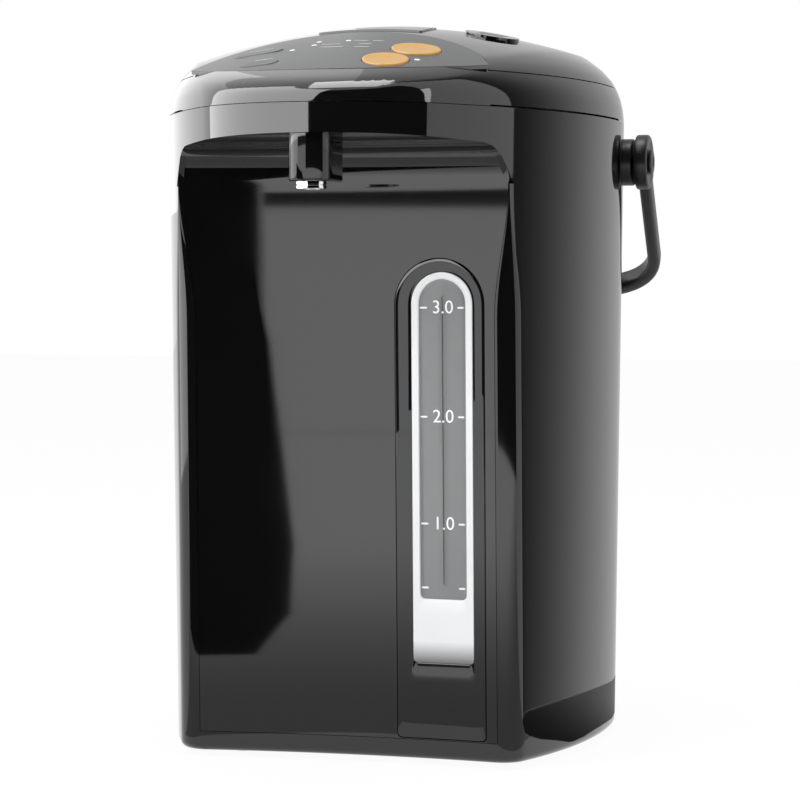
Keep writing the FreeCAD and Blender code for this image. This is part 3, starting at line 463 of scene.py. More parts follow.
@dataclass
class PotShape:
    """Outline, crown and shoulder of the pot, as in the solids."""

    base_radius: float = 105.0
    seam_radius: float = 108.6
    side_arc: float = 242.0
    beak: float = 178.8
    seam: float = 300.0
    panel_base: float = 109.2
    panel_seam: float = 118.4
    hollow: float = 5.5
    panel_half: float = 80.0
    corner: float = 11.0
    crown_top: float = 346.0
    rises: Array = field(default_factory=lambda: np.array([0., 6., 11., 15., 20., 25., 30., 34., 50.]))
    side_in: Array = field(default_factory=lambda: np.array([0., .6, 1.7, 3.2, 6., 10.5, 17., 24., 30.]))
    front_in: Array = field(default_factory=lambda: np.array([0., 2.6, 8., 16., 28., 42., 62., 80., 90.]))

    def radius(self, z: Array) -> Array:
        """Half width of the case at height z, linear in z."""
        return self.base_radius + (self.seam_radius - self.base_radius) * z / self.seam

    def panel_arc(self) -> float:
        """Radius of the hollow of the panel, (w^2 + h^2) / 2h."""
        return (self.panel_half ** 2 + self.hollow ** 2) / (2 * self.hollow)

    def panel_middle(self, z: Array) -> Array:
        """Place of the middle of the panel at height z."""
        return self.hollow - (self.panel_base + (self.panel_seam - self.panel_base) * z / self.seam)

    def panel_y(self, x: Array, z: Array) -> Array:
        """Panel surface: middle - R + sqrt(R^2 - x^2)."""
        bend = self.panel_arc()
        return self.panel_middle(z) - bend + np.sqrt(bend ** 2 - x ** 2)

    def nose(self, side: Array, front: Array, bend: Array) -> tuple[Array, Array, Array, Array]:
        """Nose circle tangent to the side arcs.

        Returns:
            Its radius, its centre's y, and the x and y where it meets the side arc.
        """
        k = side - bend
        radius = (bend ** 2 - k ** 2 - front ** 2) / (2 * (bend - front))
        centre = radius - front
        away = np.hypot(k, centre)
        return radius, centre, k - bend * k / away, bend * centre / away

    def oval(self, side: Array, front: Array, bend: Array, counts: tuple[int, int, int]) -> Array:
        """Closed outline per row: nose arc, side arc, back arc and their mirror image."""
        radius, centre, jx, jy = self.nose(side, front, bend)
        k = side - bend
        right = np.concatenate([
            arc(0.0, centre, radius, -math.pi / 2 + 0 * jx, np.arctan2(jy - centre, jx), counts[0])[:, :-1],
            arc(k, 0.0, bend, np.arctan2(jy, jx - k), 0 * jx, counts[1])[:, :-1],
            arc(0.0, 0.0, side, 0 * jx, math.pi / 2 + 0 * jx, counts[2]),
        ], axis=1)
        left = right[:, -2:0:-1] * np.array([-1.0, 1.0])
        return np.concatenate([right, left], axis=1)

    def case(self, z: Array, inset: Array, corner: Array, counts: tuple[int, int, int]) -> Array:
        """Open outline per row from the right edge of the panel, round the back, to its left edge."""
        side = self.radius(z) - inset
        bend = self.side_arc - inset
        k = side - bend
        middle = self.panel_middle(z) - self.panel_arc()
        panel = self.panel_arc() + inset
        near, far = bend - corner, panel + corner
        span = np.hypot(k, middle)
        along = (near ** 2 - far ** 2 + span ** 2) / (2 * span)
        across = np.sqrt(near ** 2 - along ** 2)
        ux, uy = -k / span, middle / span
        cx = k + along * ux - across * uy
        cy = along * uy + across * ux
        at_panel = np.arctan2(cy - middle, cx)
        at_side = np.arctan2(cy, cx - k)
        right = np.concatenate([
            arc(cx, cy, corner, at_panel - math.pi, at_side, counts[0])[:, :-1],
            arc(k, 0.0, bend, at_side, 0 * cx, counts[1])[:, :-1],
            arc(0.0, 0.0, side, 0 * cx, math.pi / 2 + 0 * cx, counts[2]),
        ], axis=1)
        left = right[:, -2::-1] * np.array([-1.0, 1.0])
        return np.concatenate([right, left], axis=1)

    def crown(self, x: Array, y: Array) -> Array:
        """Crown: top - f (y - 5)^2 - 0.00182 x^2, f smaller in front."""
        along = y - 5.0
        fall = np.where(along < 0, 0.001167, 0.0022)
        return self.crown_top - fall * along ** 2 - 0.00182 * x ** 2

    def crown_normal(self, x: float, y: float) -> Array:
        """Upward normal of the crown."""
        along = y - 5.0
        lean = np.array([2 * 0.00182 * x, 2 * (0.001167 if along < 0 else 0.0022) * along, 1.0])
        return lean / np.linalg.norm(lean)

    def dome_value(self, points: Array) -> Array:
        """Negative inside the dome: smooth maximum of (distance outside the shoulder's oval) and (z - crown)."""
        x, y, z = np.abs(points[:, 0]), points[:, 1], points[:, 2]
        rise = np.clip(z - self.seam, 0.0, 50.0)
        front_in = smooth_table(self.rises, self.front_in, rise)
        side = self.seam_radius - smooth_table(self.rises, self.side_in, rise)
        front, bend = self.beak - front_in, self.side_arc - front_in
        k = side - bend
        radius, centre, _, jy = self.nose(side, front, bend)
        far = np.hypot(x, y) + 1e-9
        dx, dy = x / far, y / far
        reach = k * dx + np.sqrt(np.maximum(bend ** 2 - (k * dy) ** 2, 0.0))
        nose = centre * dy + np.sqrt(np.maximum(radius ** 2 - (centre * dx) ** 2, 0.0))
        reach = np.where(reach * dy < jy, nose, reach)
        reach = np.where(y >= 0, side, reach)
        outside = far - reach
        above = z - self.crown(x, y)
        soft = 4.0
        share = np.clip(0.5 + 0.5 * (above - outside) / soft, 0.0, 1.0)
        return outside * (1 - share) + above * share + soft * share * (1 - share)

    def crown_value(self, points: Array) -> Array:
        """Height above the crown."""
        return points[:, 2] - self.crown(points[:, 0], points[:, 1])


SHAPE = PotShape()


def polished_copy(node: str, name: str, body: str, slot: str, value: object, finish: str = "") -> bpy.types.Object:
    """Copy of a CAD node, merged and refined, with the exact normals of the surface value = 0.

    The normal at p is the gradient (value(p + e) - value(p - e)) / 2e on each axis. It is used
    on faces that look nearly along it; the others keep their own.

    Args:
        node: CAD node copied and replaced.
        name: Name of the piece.
        body: Body that it rides on.
        slot: Material slot of the record.
        value: Function of points of shape (n, 3) that is zero on the surface.
        finish: Finish, if it isn't the slot's own.

    Returns:
        The object.
    """
    work = bmesh.new()
    work.from_mesh(frame["nodes"][node].data)
    bmesh.ops.remove_doubles(work, verts=work.verts, dist=2e-6)
    for _ in range(2):
        long_edges = [edge for edge in work.edges if edge.calc_length() > 0.007]
        if long_edges:
            bmesh.ops.subdivide_edges(work, edges=long_edges, cuts=1)
            bmesh.ops.triangulate(work, faces=work.faces)
    made = bpy.data.meshes.new(name)
    work.to_mesh(made)
    work.free()
    piece = set_up(name, made, body, slot, finish, (node,), 28.0)
    count = len(made.loops)
    own = np.zeros(count * 3)
    made.corner_normals.foreach_get("vector", own)
    own = own.reshape(-1, 3)
    places = np.zeros(len(made.vertices) * 3)
    made.vertices.foreach_get("co", places)
    places = places.reshape(-1, 3) / MM - np.array([0.0, AXIS_Y, 0.0])
    corners = np.zeros(count, int)
    made.loops.foreach_get("vertex_index", corners)
    slope = np.zeros_like(places)
    for axis in range(3):
        step = np.zeros(3)
        step[axis] = 0.15
        slope[:, axis] = value(places + step) - value(places - step)
    slope /= np.linalg.norm(slope, axis=1)[:, None] + 1e-12
    flat = np.zeros(len(made.polygons) * 3)
    made.polygons.foreach_get("normal", flat)
    sizes = np.zeros(len(made.polygons), int)
    made.polygons.foreach_get("loop_total", sizes)
    flat = np.repeat(flat.reshape(-1, 3), sizes, axis=0)
    exact = slope[corners]
    near = np.abs(value(places))[corners] < 3.0
    use = ((exact * flat).sum(axis=1) > 0.93) & near
    own[use] = exact[use]
    made.normals_split_custom_set(own.tolist())
    return piece


@dataclass
class Case:
    """Body of the pot: sides and back, the beak's skin, and the strip below the panel."""

    low: float = 2.8
    round_radius: float = 4.0
    join: float = 266.0
    top: float = 299.7
    wall: float = 2.5
    panel_low: float = 12.0
    fillet: float = 18.0
    ceiling: float = 284.0
    lip: float = 286.5

    def corner_at(self, z: Array) -> Array:
        """Corner radius: full below, drawn in smoothly to a sharp edge under the beak."""
        share = np.clip((z - 205.0) / (self.join - 205.0), 0.0, 1.0)
        return 0.5 + (SHAPE.corner - 0.5) * (1 - share * share * (3 - 2 * share))

    def levels(self) -> tuple[Array, Array]:
        """Heights and insets of the rows: a quarter round of radius r below, then straight up."""
        a = np.linspace(0.0, math.pi / 2, 8)
        z = np.concatenate([self.low + self.round_radius * (1 - np.cos(a)), [self.panel_low],
                            np.linspace(20.0, 200.0, 19), np.linspace(206.0, self.join, 16)])
        inset = np.concatenate([self.round_radius * (1 - np.sin(a)), np.zeros(36)])
        return z[:, None], inset[:, None]

    def rows(self, z: Array, flat: Array) -> Array:
        """Joins level outlines with their heights into a grid of points."""
        return np.concatenate([flat, np.broadcast_to(z[:, :, None], (*flat.shape[:2], 1))], axis=2)

    def ceiling_z(self, away: Array) -> Array:
        """Height of the beak's underside, away in front of the panel: quarter round, then a gentle rise."""
        inside = np.clip(away, 0.0, self.fillet)
        curve = self.join + np.sqrt(self.fillet ** 2 - (self.fillet - inside) ** 2)
        slope = (self.lip - self.ceiling) / 46.0
        return np.where(away < self.fillet, curve, self.ceiling + slope * (away - self.fillet))

    def beak_grid(self, inset: float) -> Array:
        """Oval skin from the recess line up to the seam: z = low + (top - low) v at each point of the outline."""
        counts = (60, 36, 40)
        low = np.full((1, 1), self.join)
        mid = SHAPE.oval(SHAPE.radius(low) - inset, SHAPE.beak - inset, SHAPE.side_arc - inset, counts)[0]
        for _ in range(3):
            away = SHAPE.panel_y(np.clip(mid[:, 0], -200.0, 200.0), self.join) - mid[:, 1]
            start = self.ceiling_z(np.where(mid[:, 1] < 0, away, 0.0))
            every = SHAPE.oval(SHAPE.radius(start[:, None]) - inset, SHAPE.beak - inset, SHAPE.side_arc - inset,
                               counts)
            mid = every[np.arange(len(start)), np.arange(len(start))]
        v = np.linspace(0.0, 1.0, 10)[:, None]
        z = start[None, :] + (self.top - start[None, :]) * v
        grid = np.zeros((10, len(start), 3))
        for row in range(10):
            every = SHAPE.oval(SHAPE.radius(z[row][:, None]) - inset, SHAPE.beak - inset, SHAPE.side_arc - inset,
                               counts)
            grid[row, :, :2] = every[np.arange(len(start)), np.arange(len(start))]
            grid[row, :, 2] = z[row]
        return grid

    def build(self) -> None:
        """Builds the body skin."""
        z, inset = self.levels()
        counts = (14, 40, 44)
        corner = self.corner_at(z)
        outer = self.rows(z, SHAPE.case(z, inset, corner, counts))
        inner = self.rows(z, SHAPE.case(z, inset + self.wall, np.maximum(corner - self.wall, 0.4), counts))
        inner[0, :, 2] = self.low
        beak_out, beak_in = self.beak_grid(0.0), self.beak_grid(self.wall)
        z_foot, inset_foot = z[:9], inset[:9]
        edge = SHAPE.case(z_foot, inset_foot, corner[:9], counts)[:, 0, 0][:, None]
        across = np.linspace(-1.0, 1.0, 40)[None, :]
        foot = self.panel_rows(edge * across, z_foot, inset_foot)
        foot_in = foot + np.array([0.0, self.wall, 0.0])
        parts = [slab(outer, inner, False), slab(beak_out, beak_in, True), slab(foot, foot_in, False)]
        add_piece("body_skin", parts, "pot", "gloss_black", replaced=("body_shell",))

    def panel_rows(self, x: Array, z: Array, back: Array) -> Array:
        """Points on the hollow panel surface, set back by back."""
        return np.stack([x, SHAPE.panel_y(x, z) + back, z + 0 * x], axis=2)


@dataclass
class Recess:
    """Hollow front panel, its quarter round and the underside of the beak."""

    case: Case
    thickness: float = 2.4
    seam: float = 0.25
    columns: int = 90

    def half_width(self, away: Array, z: Array) -> Array:
        """Where each row meets the outer outline: the x with x = outline x at the row's y, by bisection."""
        side, bend = SHAPE.radius(z), SHAPE.side_arc
        k = side - bend
        radius, centre, _, jy = SHAPE.nose(side, SHAPE.beak, bend)
        low, high = np.zeros_like(z), np.full_like(z, 108.0)
        for _ in range(40):
            x = (low + high) / 2
            y = SHAPE.panel_y(x, self.case.join) - away
            arc_x = k + np.sqrt(np.maximum(bend ** 2 - y ** 2, 0.0))
            nose_x = np.sqrt(np.maximum(radius ** 2 - (y - centre) ** 2, 0.0))
            limit = np.where(y < jy, nose_x, arc_x)
            low, high = np.where(x < limit, x, low), np.where(x < limit, high, x)
        return low

    def build(self) -> None:
        """Builds the sheet, with the gauge opening cut through."""
        case = self.case
        z = np.concatenate([[case.panel_low + self.seam], np.linspace(20.0, 200.0, 25),
                            np.linspace(206.0, case.join, 14)])[:, None]
        edge = SHAPE.case(z, 0 * z, case.corner_at(z), (14, 40, 44))[:, 0, 0][:, None] - self.seam
        across = np.sin(np.linspace(-0.5, 0.5, self.columns) * math.pi * 0.94)
        across = (across / across[-1])[None, :]
        wall = case.panel_rows(edge * across, z, 0.0)
        angle = np.linspace(0.0, math.pi / 2, 14)[1:]
        front = -SHAPE.panel_middle(np.array(case.join))
        most = SHAPE.beak - front - 0.02
        share = np.linspace(0.0, 1.0, 26)[1:]
        away = np.concatenate([case.fillet * (1 - np.cos(angle)),
                               most - (most - case.fillet) * (1 - share) ** 2])[:, None]
        height = case.ceiling_z(away)
        half = self.half_width(away, height) - 0.02
        x = half * across
        ceiling = np.stack([x, SHAPE.panel_y(x, case.join) - away, height + 0 * x], axis=2)
        sheet = np.concatenate([wall, ceiling])
        rows, columns = np.gradient(sheet, axis=0), np.gradient(sheet, axis=1)
        normal = np.cross(rows, columns)
        normal /= np.linalg.norm(normal, axis=2)[:, :, None] + 1e-9
        normal[-1] = normal[-2]
        if normal[5, self.columns // 2, 1] > 0:
            normal = -normal
        inner = sheet - normal * self.thickness
        inner[:, :, 2] = np.maximum(inner[:, :, 2], case.panel_low + self.seam)
        piece = add_piece("front_panel_skin", [slab(sheet, inner, False)], "pot", "panel_black",
                          replaced=("front_panel",))
        cut_with(piece, [prism(arch_outline(44.6, 21.4, 12.5, 233.0, 2.0), -130.0, -60.0)])


def arch_outline(centre: float, half: float, low: float, high: float, corner: float, count: int = 300) -> Array:
    """Arch from the bottom middle to the right and round, its points evenly spaced along it.

    Args:
        centre, half: Middle and half width.
        low, high: Lowest and highest z.
        corner: Radius of the lower corners.
        count: Number of points.

    Returns:
        Points (x, z).
    """
    turn = np.linspace(0.0, math.pi / 2, 24)
    lower = np.stack([half - corner + corner * np.sin(turn), low + corner - corner * np.cos(turn)], axis=1)
    upper = np.stack([half * np.cos(turn), high - half + half * np.sin(turn)], axis=1)
    right = np.concatenate([[[0.0, low]], lower, upper])
    ring = np.concatenate([right, right[-2::-1] * [-1, 1]]) + [centre, 0.0]
    length = np.concatenate([[0.0], np.cumsum(np.hypot(*np.diff(ring, axis=0).T))])
    at = np.linspace(0.0, length[-1], count, endpoint=False)
    return np.stack([np.interp(at, length, ring[:, 0]), np.interp(at, length, ring[:, 1])], axis=1)


def prism(outline: Array, front: float, back: float) -> tuple[Array, Array]:
    """Closed prism of a front-view outline between two depths, with a fan at each end."""
    middle = outline.mean(axis=0)
    rows = [np.broadcast_to(middle, outline.shape), outline, outline, np.broadcast_to(middle, outline.shape)]
    depth = [front, front, back, back]
    grid = np.stack([np.stack([r[:, 0], np.full(len(r), d), r[:, 1]], axis=1) for r, d in zip(rows, depth)])
    return grid.reshape(-1, 3), grid_faces(4, len(outline), False, True)


def ring_plate(outer: Array, inner: Array, stand: float, back: float, edge: float) -> tuple[Array, Array]:
    """Plate between two outlines, on the panel: its front stands stand proud, its rims are rounded by edge.

    Rows run from the outer rim, over the front, to the inner rim and round the back:
    (x, z) = outer + (inner - outer) s, y = panel y - depth.
    """
    gap = inner - outer
    size = np.hypot(*gap.T)[:, None] + 1e-9
    unit = gap / size
    rows = [(outer, -back), (outer, stand - edge), (outer + unit * edge * 0.3, stand - edge * 0.3),
            (outer + unit * edge, stand)]
    for share in (0.25, 0.5, 0.75):
        rows.append((outer + gap * share, stand))
    rows += [(inner - unit * edge, stand), (inner - unit * edge * 0.3, stand - edge * 0.3), (inner, stand - edge),
             (inner, -back)]
    grid = []
    for flat, proud in rows:
        y = SHAPE.panel_y(flat[:, 0], flat[:, 1]) - proud
        grid.append(np.stack([flat[:, 0], y, flat[:, 1]], axis=1))
    grid = np.stack(grid)
    return grid.reshape(-1, 3), grid_faces(len(grid), len(outer), True, True)


@dataclass
class Gauge:
    """Water gauge: dark cover, pale frame, glass tube and printed scale."""

    centre: float = 45.8
    print_out: float = 0.74
    frame_half: float = 14.4
    frame_low: float = 48.0
    frame_high: float = 226.5
    border: float = 3.2
    window_low: float = 77.3
    tube: tuple[float, float] = (49.0, -98.0)

    def build(self) -> None:
        """Builds each piece of the gauge."""
        arch = arch_outline(44.6, 21.05, 12.85, 232.65, 2.0)
        seat = arch_outline(self.centre, self.frame_half + 0.03, self.frame_low, self.frame_high, 1.5)
        add_piece("gauge_cover_plate", [ring_plate(arch, seat, 0.4, 2.2, 0.5)], "pot", "smoke",
                  replaced=("gauge_cover",))
        rim = arch_outline(self.centre, self.frame_half, self.frame_low, self.frame_high, 1.5)
        hole = arch_outline(self.centre, self.frame_half - self.border, self.window_low,
                            self.frame_high - self.border, 2.5)
        add_piece("gauge_frame_plate", [ring_plate(rim, hole, 0.85, 2.2, 0.5)], "pot", "silver_trim",
                  replaced=("gauge_frame",))
        pane = arch_outline(self.centre, self.frame_half - self.border + 0.4, self.window_low - 0.4,
                            self.frame_high - self.border + 0.4, 2.5)
        middle = [self.centre, 150.0]
        shrunk = middle + (pane - middle) * [0.02, 0.9]
        add_piece("gauge_window", [ring_plate(pane, shrunk, -0.8, 2.2, 0.05)], "pot", "clear", "window",
                  replaced=("gauge_pane",))
        wall = np.array([(3.5, 66.0), (4.4, 66.0), (4.5, 66.1), (4.5, 235.9), (4.4, 236.0), (3.5, 236.0),
                         (3.5, 66.0)])
        points, faces = turned(wall, (*self.tube, 0.0), (0, 0, 1), 48)
        add_piece("gauge_tube_glass", [(points, faces)], "pot", "clear", replaced=("gauge_tube",))
        self.marks()

    def marks(self) -> None:
        """Printed numbers and ticks on the scale, in the ink finish whose glow is painted brightness."""
        for text, z in (("3.0", 210.4), ("2.0", 160.8), ("1.0", 111.9)):
            curve = bpy.data.curves.new("digits", "FONT")
            curve.body, curve.size, curve.align_x, curve.align_y = text, 8.4 * MM, "CENTER", "CENTER"
            curve.extrude = 0.04 * MM
            holder = bpy.data.objects.new("digits", curve)
            bpy.context.scene.collection.objects.link(holder)
            graph = bpy.context.evaluated_depsgraph_get()
            made = bpy.data.meshes.new_from_object(holder.evaluated_get(graph))
            bpy.data.objects.remove(holder)
            places = np.zeros(len(made.vertices) * 3)
            made.vertices.foreach_get("co", places)
            places = places.reshape(-1, 3) / MM
            x, height = places[:, 0] + 46.0, places[:, 1] + z
            placed = np.stack([x, SHAPE.panel_y(x, height) + self.print_out - places[:, 2], height], axis=1)
            made.vertices.foreach_set("co", to_frame(placed).ravel())
            # ink glow on the digits: painted brightness
            set_up("scale_number_" + text[0], made, "pot", "scale", "ink", (), 30.0)
        bars = []
        for z in (82.5, 111.9, 160.8, 210.4):
            for x in (36.9, 54.7):
                y = float(SHAPE.panel_y(np.array(x), np.array(z))) + self.print_out
                bars.append(rounded_bar((x, y, z), (1.7, 0.05, 0.42)))
        # ink glow on the ticks: painted brightness
        add_piece("scale_ticks", bars, "pot", "scale", "ink")


def rounded_bar(centre: tuple[float, float, float], half: tuple[float, float, float]) -> tuple[Array, Array]:
    """Small bar: a superellipse |u|^4 + |v|^4 = 1 in the front view, swept through its depth."""
    angle = np.linspace(0.0, 2 * math.pi, 24, endpoint=False)
    c, s = np.cos(angle), np.sin(angle)
    u, v = np.sign(c) * np.sqrt(np.abs(c)), np.sign(s) * np.sqrt(np.abs(s))
    rows = []
    for grow, y in ((0.0, -1.0), (0.95, -1.0), (1.0, -0.6), (1.0, 1.0), (0.0, 1.0)):
        rows.append(np.stack([centre[0] + half[0] * grow * u, centre[1] + half[1] * y + 0 * u,
                              centre[2] + half[2] * grow * v], axis=1))
    return np.stack(rows).reshape(-1, 3), grid_faces(5, 24, False, True)


@dataclass
class Top:
    """Fixed top, lid, lever, steam cap, control panel, its buttons, keys and plain legend marks."""

    def build(self) -> None:
        """Builds each piece of the top."""
        polished_copy("top_cover", "top_skin", "pot", "gloss_black", SHAPE.dome_value)
        polished_copy("lid_cover", "lid_skin", "lid", "gloss_black", SHAPE.dome_value)
        polished_copy("lid_lever", "lever_pad", "lever", "gloss_black", SHAPE.crown_value)
        polished_copy("steam_cap", "steam_cover", "lid", "gloss_black", SHAPE.crown_value)
        polished_copy("control_panel", "panel_film", "pot", "panel_grey", SHAPE.crown_value)
        self.button("dispense_cap", (35.3, -118.0), 11.2, "dispense_key", "dispense_button")
        self.button("unlock_cap", (26.9, -140.5), 10.4, "unlock_key", "unlock_button")
        self.key("reheat_cap", (-39.0, -116.0), (23.0, 8.0), "reheat_switch", "reheat_key")
        self.key("temperature_cap", (-31.0, -141.0), (17.0, 7.5), "temperature_switch", "temperature_key")
        self.legends()

    def button(self, name: str, place: tuple[float, float], radius: float, body: str, node: str) -> None:
        """Round key with a shallow dish and a rounded rim: height over radius as a profile."""
        x, y = place
        origin = (x, y, float(SHAPE.crown(np.array(x), np.array(y))))
        profile = [(0.0, 0.5), (radius * 0.4, 0.55), (radius * 0.72, 0.75), (radius - 1.3, 0.96),
                   (radius - 0.8, 1.0),
                   (radius - 0.35, 0.9), (radius - 0.1, 0.65), (radius, 0.2), (radius, -5.0), (0.0, -5.0)]
        add_piece(name, [turned(profile, origin, SHAPE.crown_normal(x, y), 96)], body, "amber", replaced=(node,),
                  angle=40.0)

    def on_crown(self, place: tuple[float, float], flat: Array) -> Array:
        """Sets local points (x, y, height) on the crown: origin + x a + y b + height n."""
        x, y = place
        normal = SHAPE.crown_normal(x, y)
        aside = np.cross([0.0, 1.0, 0.0], normal)
        aside /= np.linalg.norm(aside)
        ahead = np.cross(normal, aside)
        origin = np.array([x, y, float(SHAPE.crown(np.array(x), np.array(y)))])
        return origin + flat[..., :1] * aside + flat[..., 1:2] * ahead + flat[..., 2:] * normal

    def key(self, name: str, place: tuple[float, float], size: tuple[float, float], body: str, node: str) -> None:
        """Long key with round ends: a stadium outline, drawn in by each row's inset, with a rounded rim."""
        half, run = size[1] / 2, (size[0] - size[1]) / 2
        angle = np.linspace(-math.pi / 2, math.pi / 2, 28)
        right = np.stack([run + half * np.cos(angle), half * np.sin(angle)], axis=1)
        ring = np.concatenate([right, -right])
        rows = []
        for share, height in ((0.0, 0.42), (0.4, 0.42), (0.72, 0.46), (0.88, 0.5), (0.95, 0.46), (0.99, 0.3),
                              (1.0, 0.1),
                              (1.0, -5.0), (0.0, -5.0)):
            rows.append(np.concatenate([ring * share, np.full((len(ring), 1), height)], axis=1))
        grid = self.on_crown(place, np.stack(rows))
        add_piece(name, [(grid.reshape(-1, 3), grid_faces(len(rows), len(ring), False, True))], body, "key_grey",
                  replaced=(node,), angle=40.0)

    def legends(self) -> None:
        """Plain pale bars where the film has its small printed legends."""
        bars = []
        for x, y, half in ((-40.0, -108.5, 6.0), (-31.0, -134.0, 4.5), (-6.0, -112.0, 4.5), (10.0, -112.0, 3.0),
                           (6.0, -104.0, 3.5), (14.0, -104.0, 2.5), (-4.0, -118.5, 5.5), (10.0, -118.5, 3.5)):
            angle = np.linspace(0.0, 2 * math.pi, 20, endpoint=False)
            c, v = np.cos(angle), np.sin(angle)
            ring = np.stack([half * np.sign(c) * np.abs(c) ** 0.4, 0.45 * np.sign(v) * np.abs(v) ** 0.6], axis=1)
            rows = [np.concatenate([ring * k, np.full((20, 1), h)], axis=1)
                    for k, h in ((0.0, 0.235), (1.0, 0.235), (1.0, 0.1), (0.0, 0.1))]
            grid = self.on_crown((x, y), np.stack(rows))
            bars.append((grid.reshape(-1, 3), grid_faces(4, 20, False, True)))
        add_piece("legend_bars", bars, "pot", "panel_grey", "pale_ink")


@dataclass
class Handle:
    """Bail handle, its eyes, and the bosses that carry it."""

    pivot: tuple[float, float] = (25.0, 281.0)
    tilt: float = 33.0
    outer: float = 119.0
    at_bend: float = 113.8
    length: float = 117.0
    bend: float = 36.0
    thick: float = 6.5
    width: float = 10.0

    def path(self) -> tuple[Array, Array, Array]:
        """Middle line of half the bail in its plane: straight arm, quarter bend, grip.

        Returns:
            Points (across, along), in-plane outward normals, and in-plane half thickness.
        """
        arm = np.linspace(0.0, 1.0, 14)[:-1]
        run = self.length - self.bend
        arm_points = np.stack([self.outer + (self.at_bend - self.outer) * arm - self.thick / 2, run * arm], axis=1)
        arm_normals = np.tile([1.0, 0.0], (13, 1))
        turn = np.linspace(0.0, math.pi / 2, 18)
        centre = np.array([self.at_bend - self.bend, run])
        half = self.thick / 2 + (self.width / 2 - self.thick / 2) * turn / (math.pi / 2)
        out = np.stack([np.cos(turn), np.sin(turn)], axis=1)
        bend_points = centre + out * (self.bend - half)[:, None]
        grip = np.linspace(1.0, 0.0, 14)[1:]
        grip_points = np.stack([centre[0] * grip, np.full(13, self.length - self.width / 2)], axis=1)
        points = np.concatenate([arm_points, bend_points, grip_points])
        normals = np.concatenate([arm_normals, out, np.tile([0.0, 1.0], (13, 1))])
        halves = np.concatenate([np.full(13, self.thick / 2), half, np.full(13, self.width / 2)])
        return points, normals, halves

    def build(self) -> None:
        """Builds the bail, the bosses and the pins."""
        points, normals, halves = self.path()
        points = np.concatenate([points, points[-2::-1] * [-1, 1]])
        normals = np.concatenate([normals, normals[-2::-1] * [-1, 1]])
        halves = np.concatenate([halves, halves[-2::-1]])
        angle = np.linspace(0.0, 2 * math.pi, 40, endpoint=False)
        c, s = np.cos(angle), np.sin(angle)
        power = 0.55
        u, v = np.sign(c) * np.abs(c) ** power, np.sign(s) * np.abs(s) ** power
        lean = math.radians(self.tilt)
        flat = points[:, None, :] + normals[:, None, :] * (halves[:, None, None] * u[None, :, None])
        rise = np.broadcast_to(self.width / 2 * v, flat.shape[:2])
        y = flat[:, :, 1] * math.cos(lean) + rise * math.sin(lean) + self.pivot[0]
        z = -flat[:, :, 1] * math.sin(lean) + rise * math.cos(lean) + self.pivot[1]
        grid = np.stack([flat[:, :, 0], y, z], axis=2)
        ends = [np.broadcast_to(g.mean(axis=0), g.shape)[None] for g in (grid[0], grid[-1])]
        grid = np.concatenate([ends[0], grid, ends[1]])
        parts = [(grid.reshape(-1, 3), grid_faces(len(grid), 40, False, True))]
        for side in (-1, 1):
            origin = (side * (self.outer - self.thick), *self.pivot)
            dish = [(4.1, 0.0), (12.6, 0.0), (13.3, 0.4), (13.5, 1.1), (13.5, 5.2), (13.2, 6.0), (12.5, 6.45),
                    (11.0, 6.5), (9.6, 6.1), (8.4, 5.9), (4.1, 5.9), (4.1, 0.0)]
            parts.append(turned(dish, origin, (side, 0, 0), 72))
        add_piece("handle_bail", parts, "handle", "handle_black", replaced=("bail_handle",), angle=35.0)
        for side, word in ((-1, "left"), (1, "right")):
            low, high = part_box("handle_boss_" + word)
            outer = high[0] / MM if side > 0 else -low[0] / MM
            boss = rounded_ends(11.5, 0.0, outer - BOSS_ROOT, 0.9)
            add_piece("boss_" + word, [turned(boss, (side * BOSS_ROOT, *self.pivot), (side, 0, 0), 72)], "pot",
                      "handle_black", replaced=("handle_boss_" + word,))
            pin = np.array([(0.0, 0.0), (4.0, 0.0), (4.0, 22.4), (5.9, 22.4), (6.4, 22.6), (6.5, 22.9), (6.3, 23.4),
                            (5.6, 23.8), (3.0, 23.9), (2.4, 23.5), (0.0, 23.5)])
            add_piece("pivot_pin_" + word, [turned(pin, (side * 96.6, *self.pivot), (side, 0, 0), 48)], "pot",
                      "steel", "handle_black", replaced=("handle_pin_" + word,))


